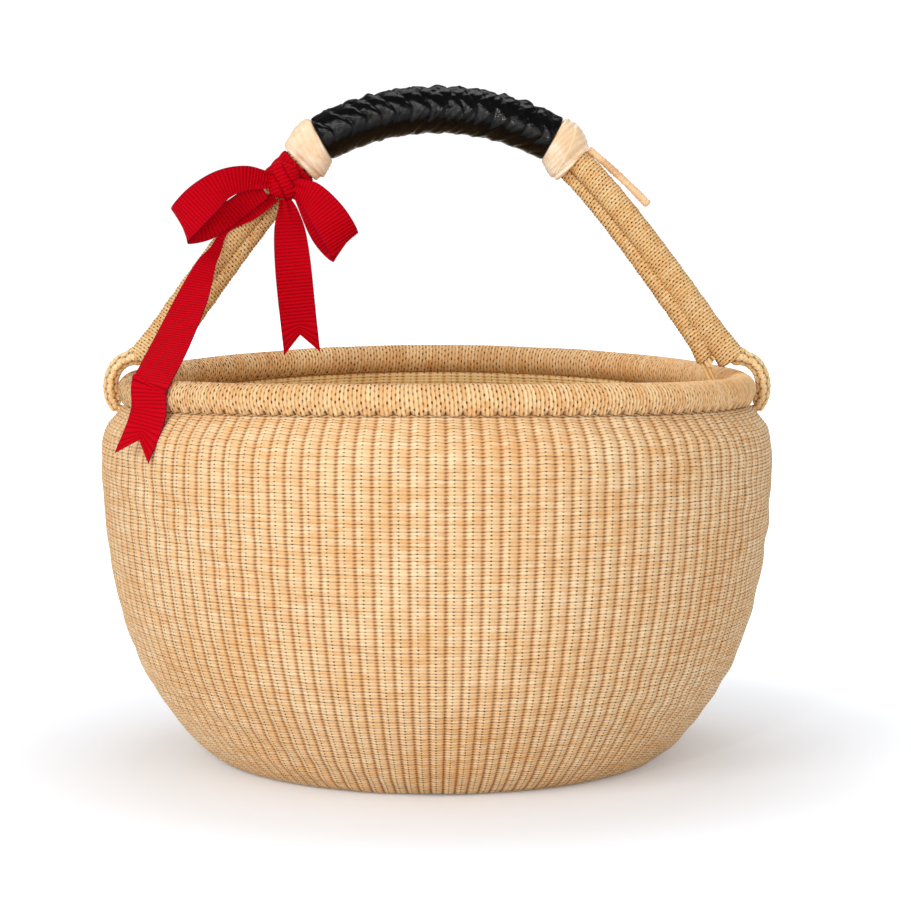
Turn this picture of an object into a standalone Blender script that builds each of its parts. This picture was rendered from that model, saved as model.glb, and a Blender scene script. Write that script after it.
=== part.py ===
# Round market basket, twined from straw, with a bundle handle bound in leather and a ribbon bow.
# Metres, +Z up. The origin is the middle of the flat base. The handle spans X, the bow is at -X.
import math

import bmesh
import bpy
from mathutils import Matrix, Vector

# Air between neighbouring pieces
PIECE_GAP = 0.0003

# Woven bowl
BODY_RADIUS = 0.2022
WALL_THICKNESS = 0.006
BASE_RADIUS = 0.128
BASE_THICKNESS = 0.0062
BASE_CROWN = 0.0016
RIB_HEIGHT = 0.0011
RIB_COUNT = 132
RIBS_PER_INNER_FACE = 2

# Outline of the wall. Below the widest place: share of the way from the base's edge to the body's
# radius, and share of the wall's height. Above it: share of the way in to the rim, and of the height.
LOWER_WALL_SHARES = (
    (0.0, 0.0),
    (0.085, 0.007),
    (0.29, 0.064),
    (0.50, 0.155),
    (0.70, 0.272),
    (0.865, 0.435),
    (0.96, 0.62),
    (1.0, 0.83),
)
UPPER_WALL_SHARES = (
    (0.14, 0.91),
    (0.46, 0.948),
    (0.86, 0.982),
    (1.0, 1.0),
)
# Height of the ribs at each point of the outline, as a share of RIB_HEIGHT
RIB_HEIGHT_SHARES = (0.0, 0.35, 0.6, 0.8, 0.9, 1.0, 1.0, 1.0, 1.0, 0.9, 0.2, 0.0)

# Rim: a hoop of stems with straw wound over it, drawn down a little where the handle is bound on
RIM_RADIUS = 0.1845
RIM_HEIGHT = 0.2268
RIM_DIP = 0.003
RIM_ROLL_RADIUS = 0.0091
RIM_WRAP_THICKNESS = 0.0022
RIM_SEGMENTS = 66
RIM_ARC_POINTS = 8
RIM_CORE_SIDES = 8

# Handle bundle
HANDLE_HEIGHT = 0.406
GRIP_BEND_RADIUS = 0.147
GRIP_HALF_ANGLE = math.radians(28.4)
GRIP_CORE_RADIUS = 0.0118
LEATHER_RADIUS = 0.0144
# The leather is drawn in at its ends by this share of its thickness. A high power keeps that short.
LEATHER_DRAW_SHARE = 0.35
LEATHER_DRAW_POWER = 12
LEG_CORE_RADIUS = 0.0042
STRAND_RADIUS = 0.0028
OUTER_ROD_TOP_RADIUS = 0.0063
OUTER_ROD_LOW_RADIUS = 0.0071
OUTER_ROD_END_RADIUS = 0.0086
INNER_ROD_TOP_RADIUS = 0.0042
INNER_ROD_LOW_RADIUS = 0.0051
ROD_FLARE_LENGTH = 0.026
FOOT_INSET = 0.0041
FOOT_RISE = 0.0162
FOOT_ANGLE = math.radians(55.0)
FOOT_SPREAD = 0.0018
STRAND_SHIFT = 0.0042
INNER_ROD_LIFT = 0.0125
STRAND_LEAD = 0.008
LEG_BEND_SHARES = (0.13, 0.60)
ROD_END_DEPTH_SHARE = 0.5
FOOT_BORE_SLANT_SHARE = 0.12

# Foot loop: braided sleeve on the strand that passes through the wall, under the rim
BRAID_THICKNESS = 0.0092
BRAID_WIDTH = 0.0126
BRAID_END_SHARE = 0.74
LOOP_CLEARANCE = 0.0005
HOLE_CLEARANCE = 0.0006
HOLE_CUT_LENGTH = 0.03
# Route of the strand round the rim, from the outer rod's end to the inner rod's foot, seen from the
# middle of the rim's roll: outward and upward, as shares of the loop's radius
LOOP_SHARES = (
    (0.54, 1.06),
    (0.825, 0.70),
    (0.972, 0.27),
    (0.988, -0.14),
    (0.945, -0.53),
    (0.80, -0.83),
    (0.56, -0.985),
    (0.35, -1.0),
    (-0.35, -1.0),
    (-0.68, -0.93),
    (-0.90, -0.58),
    (-1.03, -0.04),
    (-1.30, 0.52),
)
BRAID_LAST_POINT = 5
# The braid is narrower at both ends by this share of its width, and tapers after this share of its way
BRAID_NARROW_SHARE = 0.14
BRAID_TAPER_SHARE = 0.7

# Collars of rawhide at both ends of the leather
COLLAR_WIDTH = 0.0195
COLLAR_THICKNESS = 0.0026
COLLAR_BULGE = 0.0007
# Shares of the collar's width: where the bundle has thinned to the rods, and where the leg's winding starts
COLLAR_NECK_SHARE = 0.6
WRAP_START_SHARE = 0.92
# A squared oval that lies round both rods: its fullness, and its half depth per rod radius
PAIR_FULLNESS = 2.6
PAIR_DEPTH_SHARE = 1.08

# End of the right collar's thong, left standing beside the leg
THONG_RADIUS = 0.0022
THONG_LENGTH = 0.0495
THONG_OUT = 0.01276
THONG_LEAD = 0.00055
# Its route from the collar, outward and down the leg, as shares of its length
THONG_SHARES = (
    (0.0, 0.0),
    (0.0065, 0.1100),
    (0.0120, 0.2200),
    (0.0160, 0.3305),
    (0.0190, 0.4410),
    (0.0200, 0.5515),
    (0.0195, 0.6620),
    (0.0170, 0.7730),
    (0.0130, 0.8850),
    (0.0070, 1.0),
)

# Ribbon bow
RIBBON_WIDTH = 0.022
RIBBON_THICKNESS = 0.0008
BAND_WIDTH = 0.018
# The knot's middle lies past the band's middle by this much, down the leg
KNOT_LEAD = 0.004
KNOT_WIDTH = 0.017
KNOT_HEIGHT = 0.021
KNOT_DEPTH = 0.0105
KNOT_LEAN = math.radians(14.0)
KNOT_ROUNDNESS = 0.7
# The knot is drawn in towards both ends, and is squared a little by the turn of ribbon round it
KNOT_END_SHARE = 0.16
KNOT_TURN_SHARE = 0.10
# The band is thinner in its middle by this share of the ribbon's thickness
BAND_THIN_SHARE = 0.6
NOTCH_BACK_SHARE = 0.2
LOOP_REACH = 0.061
RIGHT_LOOP_REACH = 0.046
RIGHT_TAIL_LENGTH = 0.0945
TAIL_NOTCH = 0.0095
LEFT_TAIL_AZIMUTH = math.radians(218.0)
LEFT_TAIL_DROP = 0.0275
ROLL_TURN_START = math.radians(44.0)
ROLL_TURN_END = math.radians(-4.0)
ROLL_TURN_STEPS = 2
WALL_TAIL_STEPS = 3
# Routes of the loops from the knot: left or right, forward and up, as shares of the loop's reach,
# the direction of the ribbon's width, and its half width as a share of the ribbon's width
LEFT_LOOP_SHARES = (
    ((-0.137, -0.040, 0.0), (0.10, 0.25, -0.96), 0.22),
    ((-0.36, -0.20, 0.005), (0.28, 0.40, -0.87), 0.38),
    ((-0.58, -0.27, -0.075), (0.40, 0.22, -0.89), 0.46),
    ((-0.78, -0.27, -0.205), (0.46, 0.08, -0.88), 0.50),
    ((-0.94, -0.21, -0.35), (0.46, 0.0, -0.89), 0.50),
    ((-1.0, -0.12, -0.425), (0.46, 0.0, -0.89), 0.50),
    ((-0.95, -0.04, -0.445), (0.46, 0.0, -0.89), 0.50),
    ((-0.76, -0.01, -0.41), (0.48, 0.03, -0.87), 0.49),
    ((-0.54, -0.03, -0.30), (0.52, 0.06, -0.83), 0.42),
    ((-0.35, -0.05, -0.185), (0.55, 0.12, -0.78), 0.33),
    ((-0.19, -0.04, -0.10), (0.50, 0.25, -0.74), 0.22),
)
RIGHT_LOOP_SHARES = (
    ((0.15, -0.077, -0.07), (-0.30, 0.30, -0.90), 0.22),
    ((0.37, -0.24, -0.20), (-0.58, 0.28, -0.76), 0.40),
    ((0.56, -0.30, -0.42), (-0.60, 0.12, -0.79), 0.48),
    ((0.71, -0.27, -0.65), (-0.55, 0.02, -0.83), 0.50),
    ((0.79, -0.16, -0.83), (-0.58, 0.0, -0.81), 0.50),
    ((0.72, -0.02, -0.83), (-0.58, 0.0, -0.81), 0.50),
    ((0.56, -0.04, -0.65), (-0.52, 0.06, -0.85), 0.48),
    ((0.39, -0.09, -0.42), (-0.58, 0.20, -0.79), 0.36),
    ((0.205, -0.085, -0.165), (-0.52, 0.42, -0.74), 0.20),
)
RIGHT_TAIL_SHARES = (
    ((0.003, 0.0, -0.114), (0.90, 0.42, 0.05), 0.15),
    ((0.024, -0.012, -0.20), (0.94, 0.33, 0.05), 0.30),
    ((0.038, -0.035, -0.32), (0.97, 0.20, 0.08), 0.43),
    ((0.058, -0.065, -0.52), (0.99, 0.06, 0.09), 0.49),
    ((0.080, -0.055, -0.76), (0.99, -0.02, 0.08), 0.50),
    ((0.105, -0.045, -1.0), (0.99, -0.06, 0.06), 0.50),
)
# The left tail's free stretch: shares of the way from the knot to the rim, across, forward and down,
# the direction of the ribbon's width, and its half width as a share of the ribbon's width
LEFT_TAIL_SHARES = (
    ((0.079, -0.030, 0.086), (0.53, 0.10, -0.85), 0.15),
    ((0.287, -0.048, 0.174), (0.55, 0.05, -0.83), 0.19),
    ((0.478, -0.052, 0.268), (0.60, 0.05, -0.79), 0.16),
    ((0.583, 0.035, 0.370), (0.80, 0.10, -0.50), 0.19),
    ((0.653, 0.214, 0.446), (0.90, -0.10, -0.30), 0.27),
    ((0.755, 0.430, 0.625), (0.86, -0.40, -0.25), 0.45),
    ((0.885, 0.730, 0.835), (0.90, -0.34, -0.25), 0.50),
)
# The direction of its width from the roll's top to its end, where only its inner edge lies on the rim
RIM_TAIL_TURN_SHARES = ((0.93, -0.28, -0.24), (0.90, -0.36, -0.24))

# Sections along and points round each piece
BASE_RING_SHARES = (1.0, 0.45)
HOLE_SIDES = 16
LEG_SAMPLE_COUNT = 400
LEG_STEPS = 5
FLARE_STEPS = 4
LOOP_STEPS = 2
COLLAR_STEPS = 5
GRIP_STEPS = 5
LEATHER_SECTIONS = 12
COLLAR_SECTIONS = 5
BAND_SECTIONS = 4
KNOT_ROWS = 8
KNOT_SIDES = 14
RIBBON_STEPS = 2
CORE_SIDES = 8
ROD_SIDES = 12
COLLAR_SIDES = 16
GRIP_SIDES = 18
INNER_START = COLLAR_WIDTH * COLLAR_NECK_SHARE
WRAP_START = COLLAR_WIDTH * WRAP_START_SHARE
SHARP_ANGLE = math.radians(40.0)
WALL_SHARP_ANGLE = math.radians(60.0)

STRAW = (0.80, 0.56, 0.29, 1.0)
RIM_STRAW = (0.72, 0.46, 0.20, 1.0)
STEM = (0.62, 0.42, 0.20, 1.0)
BLACK_LEATHER = (0.012, 0.012, 0.012, 1.0)
RAWHIDE = (0.86, 0.70, 0.50, 1.0)
RED_RIBBON = (0.60, 0.008, 0.025, 1.0)


def clear_scene():
    for obj in list(bpy.data.objects):
        bpy.data.objects.remove(obj, do_unlink=True)


def material(name, colour, roughness):
    made = bpy.data.materials.get(name)
    if made is None:
        made = bpy.data.materials.new(name)
        made.use_nodes = True
        shader = made.node_tree.nodes["Principled BSDF"]
        shader.inputs["Base Color"].default_value = colour
        shader.inputs["Roughness"].default_value = roughness
        shader.inputs["Metallic"].default_value = 0.0
    return made


def make_object(name, bm, finish, parent, sharp_angle=SHARP_ANGLE):
    """Turn a bmesh in world places into a named object under its parent."""
    bmesh.ops.recalc_face_normals(bm, faces=bm.faces)
    for vertex in bm.verts:
        vertex.co -= parent.location
    mesh = bpy.data.meshes.new(name)
    bm.to_mesh(mesh)
    bm.free()
    mesh.shade_smooth()
    mesh.set_sharp_from_angle(angle=sharp_angle)
    mesh.materials.append(finish)
    obj = bpy.data.objects.new(name, mesh)
    bpy.context.scene.collection.objects.link(obj)
    obj.parent = parent
    return obj


def make_empty(name, location):
    empty = bpy.data.objects.new(name, None)
    empty.location = location
    bpy.context.scene.collection.objects.link(empty)
    return empty


def bridge(bm, first, second):
    """Quads between two closed rings with the same number of points."""
    count = len(first)
    for i in range(count):
        j = (i + 1) % count
        bm.faces.new((first[i], first[j], second[j], second[i]))


def smooth_route(points, steps):
    """Points on a smooth curve through the given ones, steps to each stretch."""
    route = []
    last = len(points) - 1
    for i in range(last):
        before = points[max(i - 1, 0)]
        start = points[i]
        end = points[i + 1]
        after = points[min(i + 2, last)]
        for k in range(steps):
            t = k / steps
            route.append(
                start
                + (end - before) * (t / 2)
                + (2 * before - 5 * start + 4 * end - after) * (t * t / 2)
                + (3 * start - before - 3 * end + after) * (t * t * t / 2)
            )
    route.append(points[last])
    return route


def rim_height(angle):
    """Height of the roll's middle: high at front and back, low at the handle's feet."""
    return RIM_HEIGHT - RIM_DIP * math.cos(2 * angle)


RIM_CORE_RADIUS = RIM_ROLL_RADIUS - RIM_WRAP_THICKNESS - PIECE_GAP
SIDE_RIM_HEIGHT = rim_height(0.0)
LOOP_RADIUS = RIM_ROLL_RADIUS + LOOP_CLEARANCE + BRAID_THICKNESS / 2
PIVOT_HEIGHT = SIDE_RIM_HEIGHT - LOOP_RADIUS
WALL_TOP_RADIUS = RIM_RADIUS + WALL_THICKNESS / 2


def wall_height(angle):
    return rim_height(angle) - RIM_CORE_RADIUS - PIECE_GAP


def wall_outline():
    """Outer outline of the wall: radius, and height as a share of the wall's height."""
    outline = []
    for share, height in LOWER_WALL_SHARES:
        outline.append((BASE_RADIUS + share * (BODY_RADIUS - BASE_RADIUS), height))
    for share, height in UPPER_WALL_SHARES:
        outline.append((BODY_RADIUS + share * (WALL_TOP_RADIUS - BODY_RADIUS), height))
    return outline


def inner_outline(outline):
    """The outline moved in by the wall's thickness, square to itself."""
    mean_height = RIM_HEIGHT - RIM_CORE_RADIUS - PIECE_GAP
    moved = []
    last = len(outline) - 1
    for i, (radius, share) in enumerate(outline):
        before = outline[max(i - 1, 0)]
        after = outline[min(i + 1, last)]
        along = Vector((after[0] - before[0], (after[1] - before[1]) * mean_height)).normalized()
        place = (radius - along.y * WALL_THICKNESS, share + along.x * WALL_THICKNESS / mean_height)
        if i == 0:
            place = (radius, WALL_THICKNESS / mean_height)
        if i == last:
            place = (radius - WALL_THICKNESS, share)
        moved.append(place)
    return moved


def wall_radius(height, angle):
    """Radius of the wall's outside, over the ribs, at a height."""
    outline = wall_outline()
    share = height / wall_height(angle)
    for (low_radius, low), (high_radius, high) in zip(outline, outline[1:]):
        if low <= share <= high:
            blend = (share - low) / (high - low)
            return low_radius + blend * (high_radius - low_radius) + RIB_HEIGHT
    return outline[-1][0] + RIB_HEIGHT


def base_weave(parent):
    """Woven disc, a little raised inside towards its middle, flat underneath."""
    bm = bmesh.new()
    radius = BASE_RADIUS - PIECE_GAP
    profile = []
    for share in BASE_RING_SHARES:
        profile.append((radius * share, BASE_THICKNESS + BASE_CROWN * (1 - share)))
    sides = RIB_COUNT // RIBS_PER_INNER_FACE
    rings = []
    for ring_radius, height in [(radius, 0.0)] + profile:
        ring = []
        for i in range(sides):
            angle = 2 * math.pi * i / sides
            ring.append(bm.verts.new((ring_radius * math.cos(angle), ring_radius * math.sin(angle), height)))
        rings.append(ring)
    for low, high in zip(rings, rings[1:]):
        bridge(bm, low, high)
    top = bm.verts.new((0.0, 0.0, BASE_THICKNESS + BASE_CROWN))
    bottom = bm.verts.new((0.0, 0.0, 0.0))
    for i in range(sides):
        j = (i + 1) % sides
        bm.faces.new((rings[-1][i], rings[-1][j], top))
        bm.faces.new((rings[0][j], rings[0][i], bottom))
    return make_object("base_weave", bm, material("straw", STRAW, 0.7), parent)


def strand_hole_cutter(name, side):
    """Round cutter on the handle's axis, through the wall at one foot."""
    bm = bmesh.new()
    bmesh.ops.create_cone(
        bm,
        cap_ends=True,
        segments=HOLE_SIDES,
        radius1=STRAND_RADIUS + HOLE_CLEARANCE,
        radius2=STRAND_RADIUS + HOLE_CLEARANCE,
        depth=HOLE_CUT_LENGTH,
    )
    mesh = bpy.data.meshes.new(name)
    bm.to_mesh(mesh)
    bm.free()
    cutter = bpy.data.objects.new(name, mesh)
    bpy.context.scene.collection.objects.link(cutter)
    cutter.location = (side * RIM_RADIUS, 0.0, PIVOT_HEIGHT)
    cutter.rotation_euler = (0.0, math.radians(90.0), 0.0)
    cutter.hide_render = True
    cutter.display_type = "WIRE"
    return cutter


def wall_weave(parent):
    """Bellied wall with one upright rib to each pair of stakes, open at both ends."""
    bm = bmesh.new()
    outline = wall_outline()
    inside = inner_outline(outline)
    outer_sides = 2 * RIB_COUNT
    inner_sides = RIB_COUNT // RIBS_PER_INNER_FACE
    step = outer_sides // inner_sides
    outer_rings = []
    for (radius, share), rib in zip(outline, RIB_HEIGHT_SHARES):
        ring = []
        for i in range(outer_sides):
            angle = 2 * math.pi * i / outer_sides
            reach = radius + (RIB_HEIGHT * rib if i % 2 else 0.0)
            height = share * wall_height(angle)
            ring.append(bm.verts.new((reach * math.cos(angle), reach * math.sin(angle), height)))
        outer_rings.append(ring)
    inner_rings = []
    for radius, share in inside:
        ring = []
        for i in range(inner_sides):
            angle = 2 * math.pi * i / inner_sides
            height = share * wall_height(angle)
            ring.append(bm.verts.new((radius * math.cos(angle), radius * math.sin(angle), height)))
        inner_rings.append(ring)
    for rings in (outer_rings, inner_rings):
        for low, high in zip(rings, rings[1:]):
            bridge(bm, low, high)
    for outer, inner in ((outer_rings[0], inner_rings[0]), (outer_rings[-1], inner_rings[-1])):
        for i in range(inner_sides):
            near = inner[i]
            far = inner[(i + 1) % inner_sides]
            for k in range(step):
                first = outer[(i * step + k) % outer_sides]
                second = outer[(i * step + k + 1) % outer_sides]
                bm.faces.new((first, second, near if k < step // 2 else far))
            bm.faces.new((outer[i * step + step // 2], far, near))
    wall = make_object("wall_weave", bm, material("straw", STRAW, 0.7), parent, WALL_SHARP_ANGLE)
    for name, side in (("left_hole_cutter", -1), ("right_hole_cutter", 1)):
        cut = wall.modifiers.new(name, "BOOLEAN")
        cut.operation = "DIFFERENCE"
        cut.solver = "EXACT"
        cut.object = strand_hole_cutter(name, side)
    return wall


def rim_ring(bm, angle, section):
    """One section of the roll, given as radius and turn from straight out, at an angle round the rim."""
    ring = []
    for radius, turn in section:
        out = RIM_RADIUS + radius * math.cos(turn)
        height = rim_height(angle) + radius * math.sin(turn)
        ring.append(bm.verts.new((out * math.cos(angle), out * math.sin(angle), height)))
    return ring


def rim_core(parent):
    """Hoop of stems inside the rim's roll."""
    bm = bmesh.new()
    section = []
    for i in range(RIM_CORE_SIDES):
        section.append((RIM_CORE_RADIUS, 2 * math.pi * i / RIM_CORE_SIDES))
    rings = [rim_ring(bm, 2 * math.pi * i / RIM_SEGMENTS, section) for i in range(RIM_SEGMENTS)]
    for i in range(RIM_SEGMENTS):
        bridge(bm, rings[i], rings[(i + 1) % RIM_SEGMENTS])
    return make_object("rim_core", bm, material("stems", STEM, 0.8), parent)


def rim_wrap(parent):
    """Straw wound over the hoop, open underneath where the wall's top edge comes in."""
    bm = bmesh.new()
    bore = RIM_CORE_RADIUS + PIECE_GAP
    slit = math.asin((WALL_THICKNESS / 2 + PIECE_GAP) / bore)
    start = -math.pi / 2 + slit
    sweep = 2 * math.pi - 2 * slit
    outer = []
    inner = []
    for i in range(RIM_ARC_POINTS + 1):
        turn = start + sweep * i / RIM_ARC_POINTS
        outer.append((RIM_ROLL_RADIUS, turn))
        inner.append((bore / math.cos(sweep / RIM_ARC_POINTS / 2), turn))
    section = outer + inner[::-1]
    rings = [rim_ring(bm, 2 * math.pi * i / RIM_SEGMENTS, section) for i in range(RIM_SEGMENTS)]
    for i in range(RIM_SEGMENTS):
        bridge(bm, rings[i], rings[(i + 1) % RIM_SEGMENTS])
    return make_object("rim_wrap", bm, material("rim_straw", RIM_STRAW, 0.65), parent)


class Section:
    """One oval section across a rod in the handle's plane. A fullness over 2 squares the oval."""

    def __init__(self, place, out, radius, depth, bore=None, bore_depth=None, bore_shift=0.0, fullness=2.0):
        self.place = place
        self.out = out
        self.radius = radius
        self.depth = depth
        self.bore = bore
        self.bore_depth = bore if bore_depth is None else bore_depth
        self.bore_shift = bore_shift
        self.fullness = fullness


def filled(value, fullness):
    return math.copysign(abs(value) ** (2 / fullness), value)


def oval(bm, place, out, radius, depth, fullness, sides, side):
    ring = []
    for i in range(sides):
        turn = 2 * math.pi * i / sides
        reach = radius * filled(math.cos(turn), fullness)
        y = depth * filled(math.sin(turn), fullness)
        ring.append(bm.verts.new((side * (place.x + out.x * reach), y, place.y + out.y * reach)))
    return ring


def loft(sections, sides, side=1):
    """Rod or tube through a row of sections. A side of -1 makes the other hand."""
    bm = bmesh.new()
    outer = [oval(bm, s.place, s.out, s.radius, s.depth, s.fullness, sides, side) for s in sections]
    for low, high in zip(outer, outer[1:]):
        bridge(bm, low, high)
    if sections[0].bore is None:
        bm.faces.new(outer[0])
        bm.faces.new(outer[-1])
        return bm
    inner = []
    for s in sections:
        middle = s.place + s.out * s.bore_shift
        inner.append(oval(bm, middle, s.out, s.bore, s.bore_depth, s.fullness, sides, side))
    for low, high in zip(inner, inner[1:]):
        bridge(bm, low, high)
    bridge(bm, outer[0], inner[0])
    bridge(bm, outer[-1], inner[-1])
    return bm


def flat_bore(radius, sides):
    """Bore whose flats stand clear of a rod of the given radius."""
    return (radius + PIECE_GAP) / math.cos(math.pi / sides)


ARC_CENTRE = Vector((0.0, HANDLE_HEIGHT - LEATHER_RADIUS - GRIP_BEND_RADIUS))
ROLL_CENTRE = Vector((RIM_RADIUS, SIDE_RIM_HEIGHT))


def arc_frame(angle):
    """Place and outward direction on the grip's arc, by the angle from the top."""
    out = Vector((math.sin(angle), math.cos(angle)))
    return ARC_CENTRE + out * GRIP_BEND_RADIUS, out


def leg_samples():
    """Fine points along the outer rod's middle line, with the length up to each."""
    start, out = arc_frame(GRIP_HALF_ANGLE)
    start_way = Vector((out.y, -out.x))
    end = ROLL_CENTRE + Vector((-FOOT_INSET, FOOT_RISE))
    end_way = Vector((math.cos(FOOT_ANGLE), -math.sin(FOOT_ANGLE)))
    chord = (end - start).length
    second = start + start_way * (LEG_BEND_SHARES[0] * chord)
    third = end - end_way * (LEG_BEND_SHARES[1] * chord)
    samples = []
    length = 0.0
    for i in range(LEG_SAMPLE_COUNT + 1):
        t = i / LEG_SAMPLE_COUNT
        u = 1 - t
        place = start * u**3 + second * (3 * u * u * t) + third * (3 * u * t * t) + end * t**3
        way = (second - start) * (u * u) + (third - second) * (2 * u * t) + (end - third) * (t * t)
        if samples:
            length += (place - samples[-1][1]).length
        samples.append((length, place, way.normalized()))
    return samples


LEG_SAMPLES = leg_samples()
LEG_LENGTH = LEG_SAMPLES[-1][0]
INNER_END = LEG_LENGTH - INNER_ROD_LIFT


def leg_frame(length):
    """Place and outward direction on the outer rod, by the length from the leather's end."""
    length = min(max(length, 0.0), LEG_LENGTH)
    for low, high in zip(LEG_SAMPLES, LEG_SAMPLES[1:]):
        if length <= high[0]:
            blend = (length - low[0]) / (high[0] - low[0])
            place = low[1].lerp(high[1], blend)
            way = low[2].lerp(high[2], blend).normalized()
            return place, Vector((-way.y, way.x))
    way = LEG_SAMPLES[-1][2]
    return LEG_SAMPLES[-1][1], Vector((-way.y, way.x))


def ease(value):
    value = min(max(value, 0.0), 1.0)
    return value * value * (3 - 2 * value)


def flare(length):
    return ease((length - LEG_LENGTH + ROD_FLARE_LENGTH) / ROD_FLARE_LENGTH)


def outer_rod_radius(length):
    straight = OUTER_ROD_TOP_RADIUS + (OUTER_ROD_LOW_RADIUS - OUTER_ROD_TOP_RADIUS) * length / LEG_LENGTH
    return straight + (OUTER_ROD_END_RADIUS - OUTER_ROD_LOW_RADIUS) * flare(length)


def inner_rod_radius(length):
    return INNER_ROD_TOP_RADIUS + (INNER_ROD_LOW_RADIUS - INNER_ROD_TOP_RADIUS) * length / LEG_LENGTH


def rod_spacing(length):
    """Distance between the two rods' middle lines: they lie side by side and part at the foot."""
    return outer_rod_radius(length) + inner_rod_radius(length) + PIECE_GAP + FOOT_SPREAD * flare(length)


def inner_frame(length):
    place, out = leg_frame(length)
    return place - out * rod_spacing(length), out


def pair_frame(length):
    """Middle and half width of the two rods together."""
    place, out = leg_frame(length)
    high = outer_rod_radius(length)
    low = rod_spacing(length) + inner_rod_radius(length)
    return place + out * ((high - low) / 2), out, (high + low) / 2


def core_radius(length):
    """The bundle is thick in the grip, thins inside the collar and ends as one strand."""
    thinning = ease(length / INNER_START)
    rod = LEG_CORE_RADIUS + (STRAND_RADIUS - LEG_CORE_RADIUS) * ease(length / LEG_LENGTH)
    return GRIP_CORE_RADIUS + (rod - GRIP_CORE_RADIUS) * thinning


def strand_shift(length):
    """Near the foot the strand moves to the outer side of its rod."""
    return STRAND_SHIFT * flare(length)


def sections_along(points, radii):
    """Sections square to a row of points."""
    sections = []
    last = len(points) - 1
    for i, place in enumerate(points):
        way = (points[min(i + 1, last)] - points[max(i - 1, 0)]).normalized()
        sections.append(Section(place, Vector((-way.y, way.x)), radii[i], radii[i]))
    return sections


def outer_strand_point(length):
    place, out = leg_frame(length)
    return place + out * strand_shift(length)


def rod_lengths(start, end):
    """Lengths of a rod's sections: even down the leg, then closer where it flares at the foot."""
    flare_start = LEG_LENGTH - ROD_FLARE_LENGTH
    lengths = [start + (flare_start - start) * i / LEG_STEPS for i in range(LEG_STEPS)]
    lengths += [flare_start + (end - flare_start) * i / FLARE_STEPS for i in range(FLARE_STEPS + 1)]
    return lengths


def loop_route():
    """The strand's smooth route round the rim, from the outer rod's end to the inner rod's end."""
    points = [outer_strand_point(LEG_LENGTH - STRAND_LEAD), outer_strand_point(LEG_LENGTH)]
    points += [ROLL_CENTRE + Vector(share) * LOOP_RADIUS for share in LOOP_SHARES]
    points += [inner_frame(INNER_END)[0], inner_frame(INNER_END - STRAND_LEAD)[0]]
    return smooth_route(points, LOOP_STEPS)[LOOP_STEPS:-LOOP_STEPS]


def half_core():
    """Places and radii of the core from the inner rod's top, round the foot, to the grip's middle."""
    places = []
    radii = []
    for length in rod_lengths(WRAP_START, INNER_END)[:-1]:
        places.append(inner_frame(length)[0])
        radii.append(STRAND_RADIUS)
    places.insert(0, inner_frame(INNER_START)[0])
    radii.insert(0, STRAND_RADIUS)
    loop = loop_route()[::-1]
    places += loop
    radii += [STRAND_RADIUS] * len(loop)
    for length in rod_lengths(WRAP_START, LEG_LENGTH)[-2:0:-1]:
        places.append(outer_strand_point(length))
        radii.append(core_radius(length))
    for i in range(COLLAR_STEPS + 1):
        length = WRAP_START * (1 - i / COLLAR_STEPS)
        places.append(outer_strand_point(length))
        radii.append(core_radius(length))
    for i in range(1, GRIP_STEPS + 1):
        places.append(arc_frame(GRIP_HALF_ANGLE * (1 - i / GRIP_STEPS))[0])
        radii.append(GRIP_CORE_RADIUS)
    return places, radii


def handle_core(parent):
    """Bundle of stems: thick under the grip, down both legs, round the rim and back up."""
    places, radii = half_core()
    mirrored = [Vector((-p.x, p.y)) for p in places[:-1]]
    points = places + mirrored[::-1]
    sections = sections_along(points, radii + radii[:-1][::-1])
    return make_object("handle_core", loft(sections, CORE_SIDES), material("stems", STEM, 0.8), parent)


def outer_leg_wrap(parent, name, side):
    """Straw wound round the outer rod, with a low ridge where the winding ends."""
    sections = []
    for length in rod_lengths(WRAP_START, LEG_LENGTH):
        place, out = leg_frame(length)
        radius = outer_rod_radius(length)
        widening = (OUTER_ROD_END_RADIUS - OUTER_ROD_LOW_RADIUS) * flare(length)
        depth = radius - widening * ROD_END_DEPTH_SHARE
        bore = flat_bore(core_radius(length), ROD_SIDES)
        slant = 1 + FOOT_BORE_SLANT_SHARE * flare(length)
        sections.append(Section(place, out, radius, depth, bore * slant, bore, strand_shift(length)))
    finish = material("rim_straw", RIM_STRAW, 0.65)
    return make_object(name, loft(sections, ROD_SIDES, side), finish, parent)


def inner_leg_wrap(parent, name, side):
    """Straw wound round the inner rod."""
    sections = []
    for length in rod_lengths(WRAP_START, INNER_END):
        place, out = inner_frame(length)
        radius = inner_rod_radius(length)
        bore = flat_bore(STRAND_RADIUS, ROD_SIDES)
        sections.append(Section(place, out, radius, radius, bore))
    finish = material("rim_straw", RIM_STRAW, 0.65)
    return make_object(name, loft(sections, ROD_SIDES, side), finish, parent)


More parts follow.
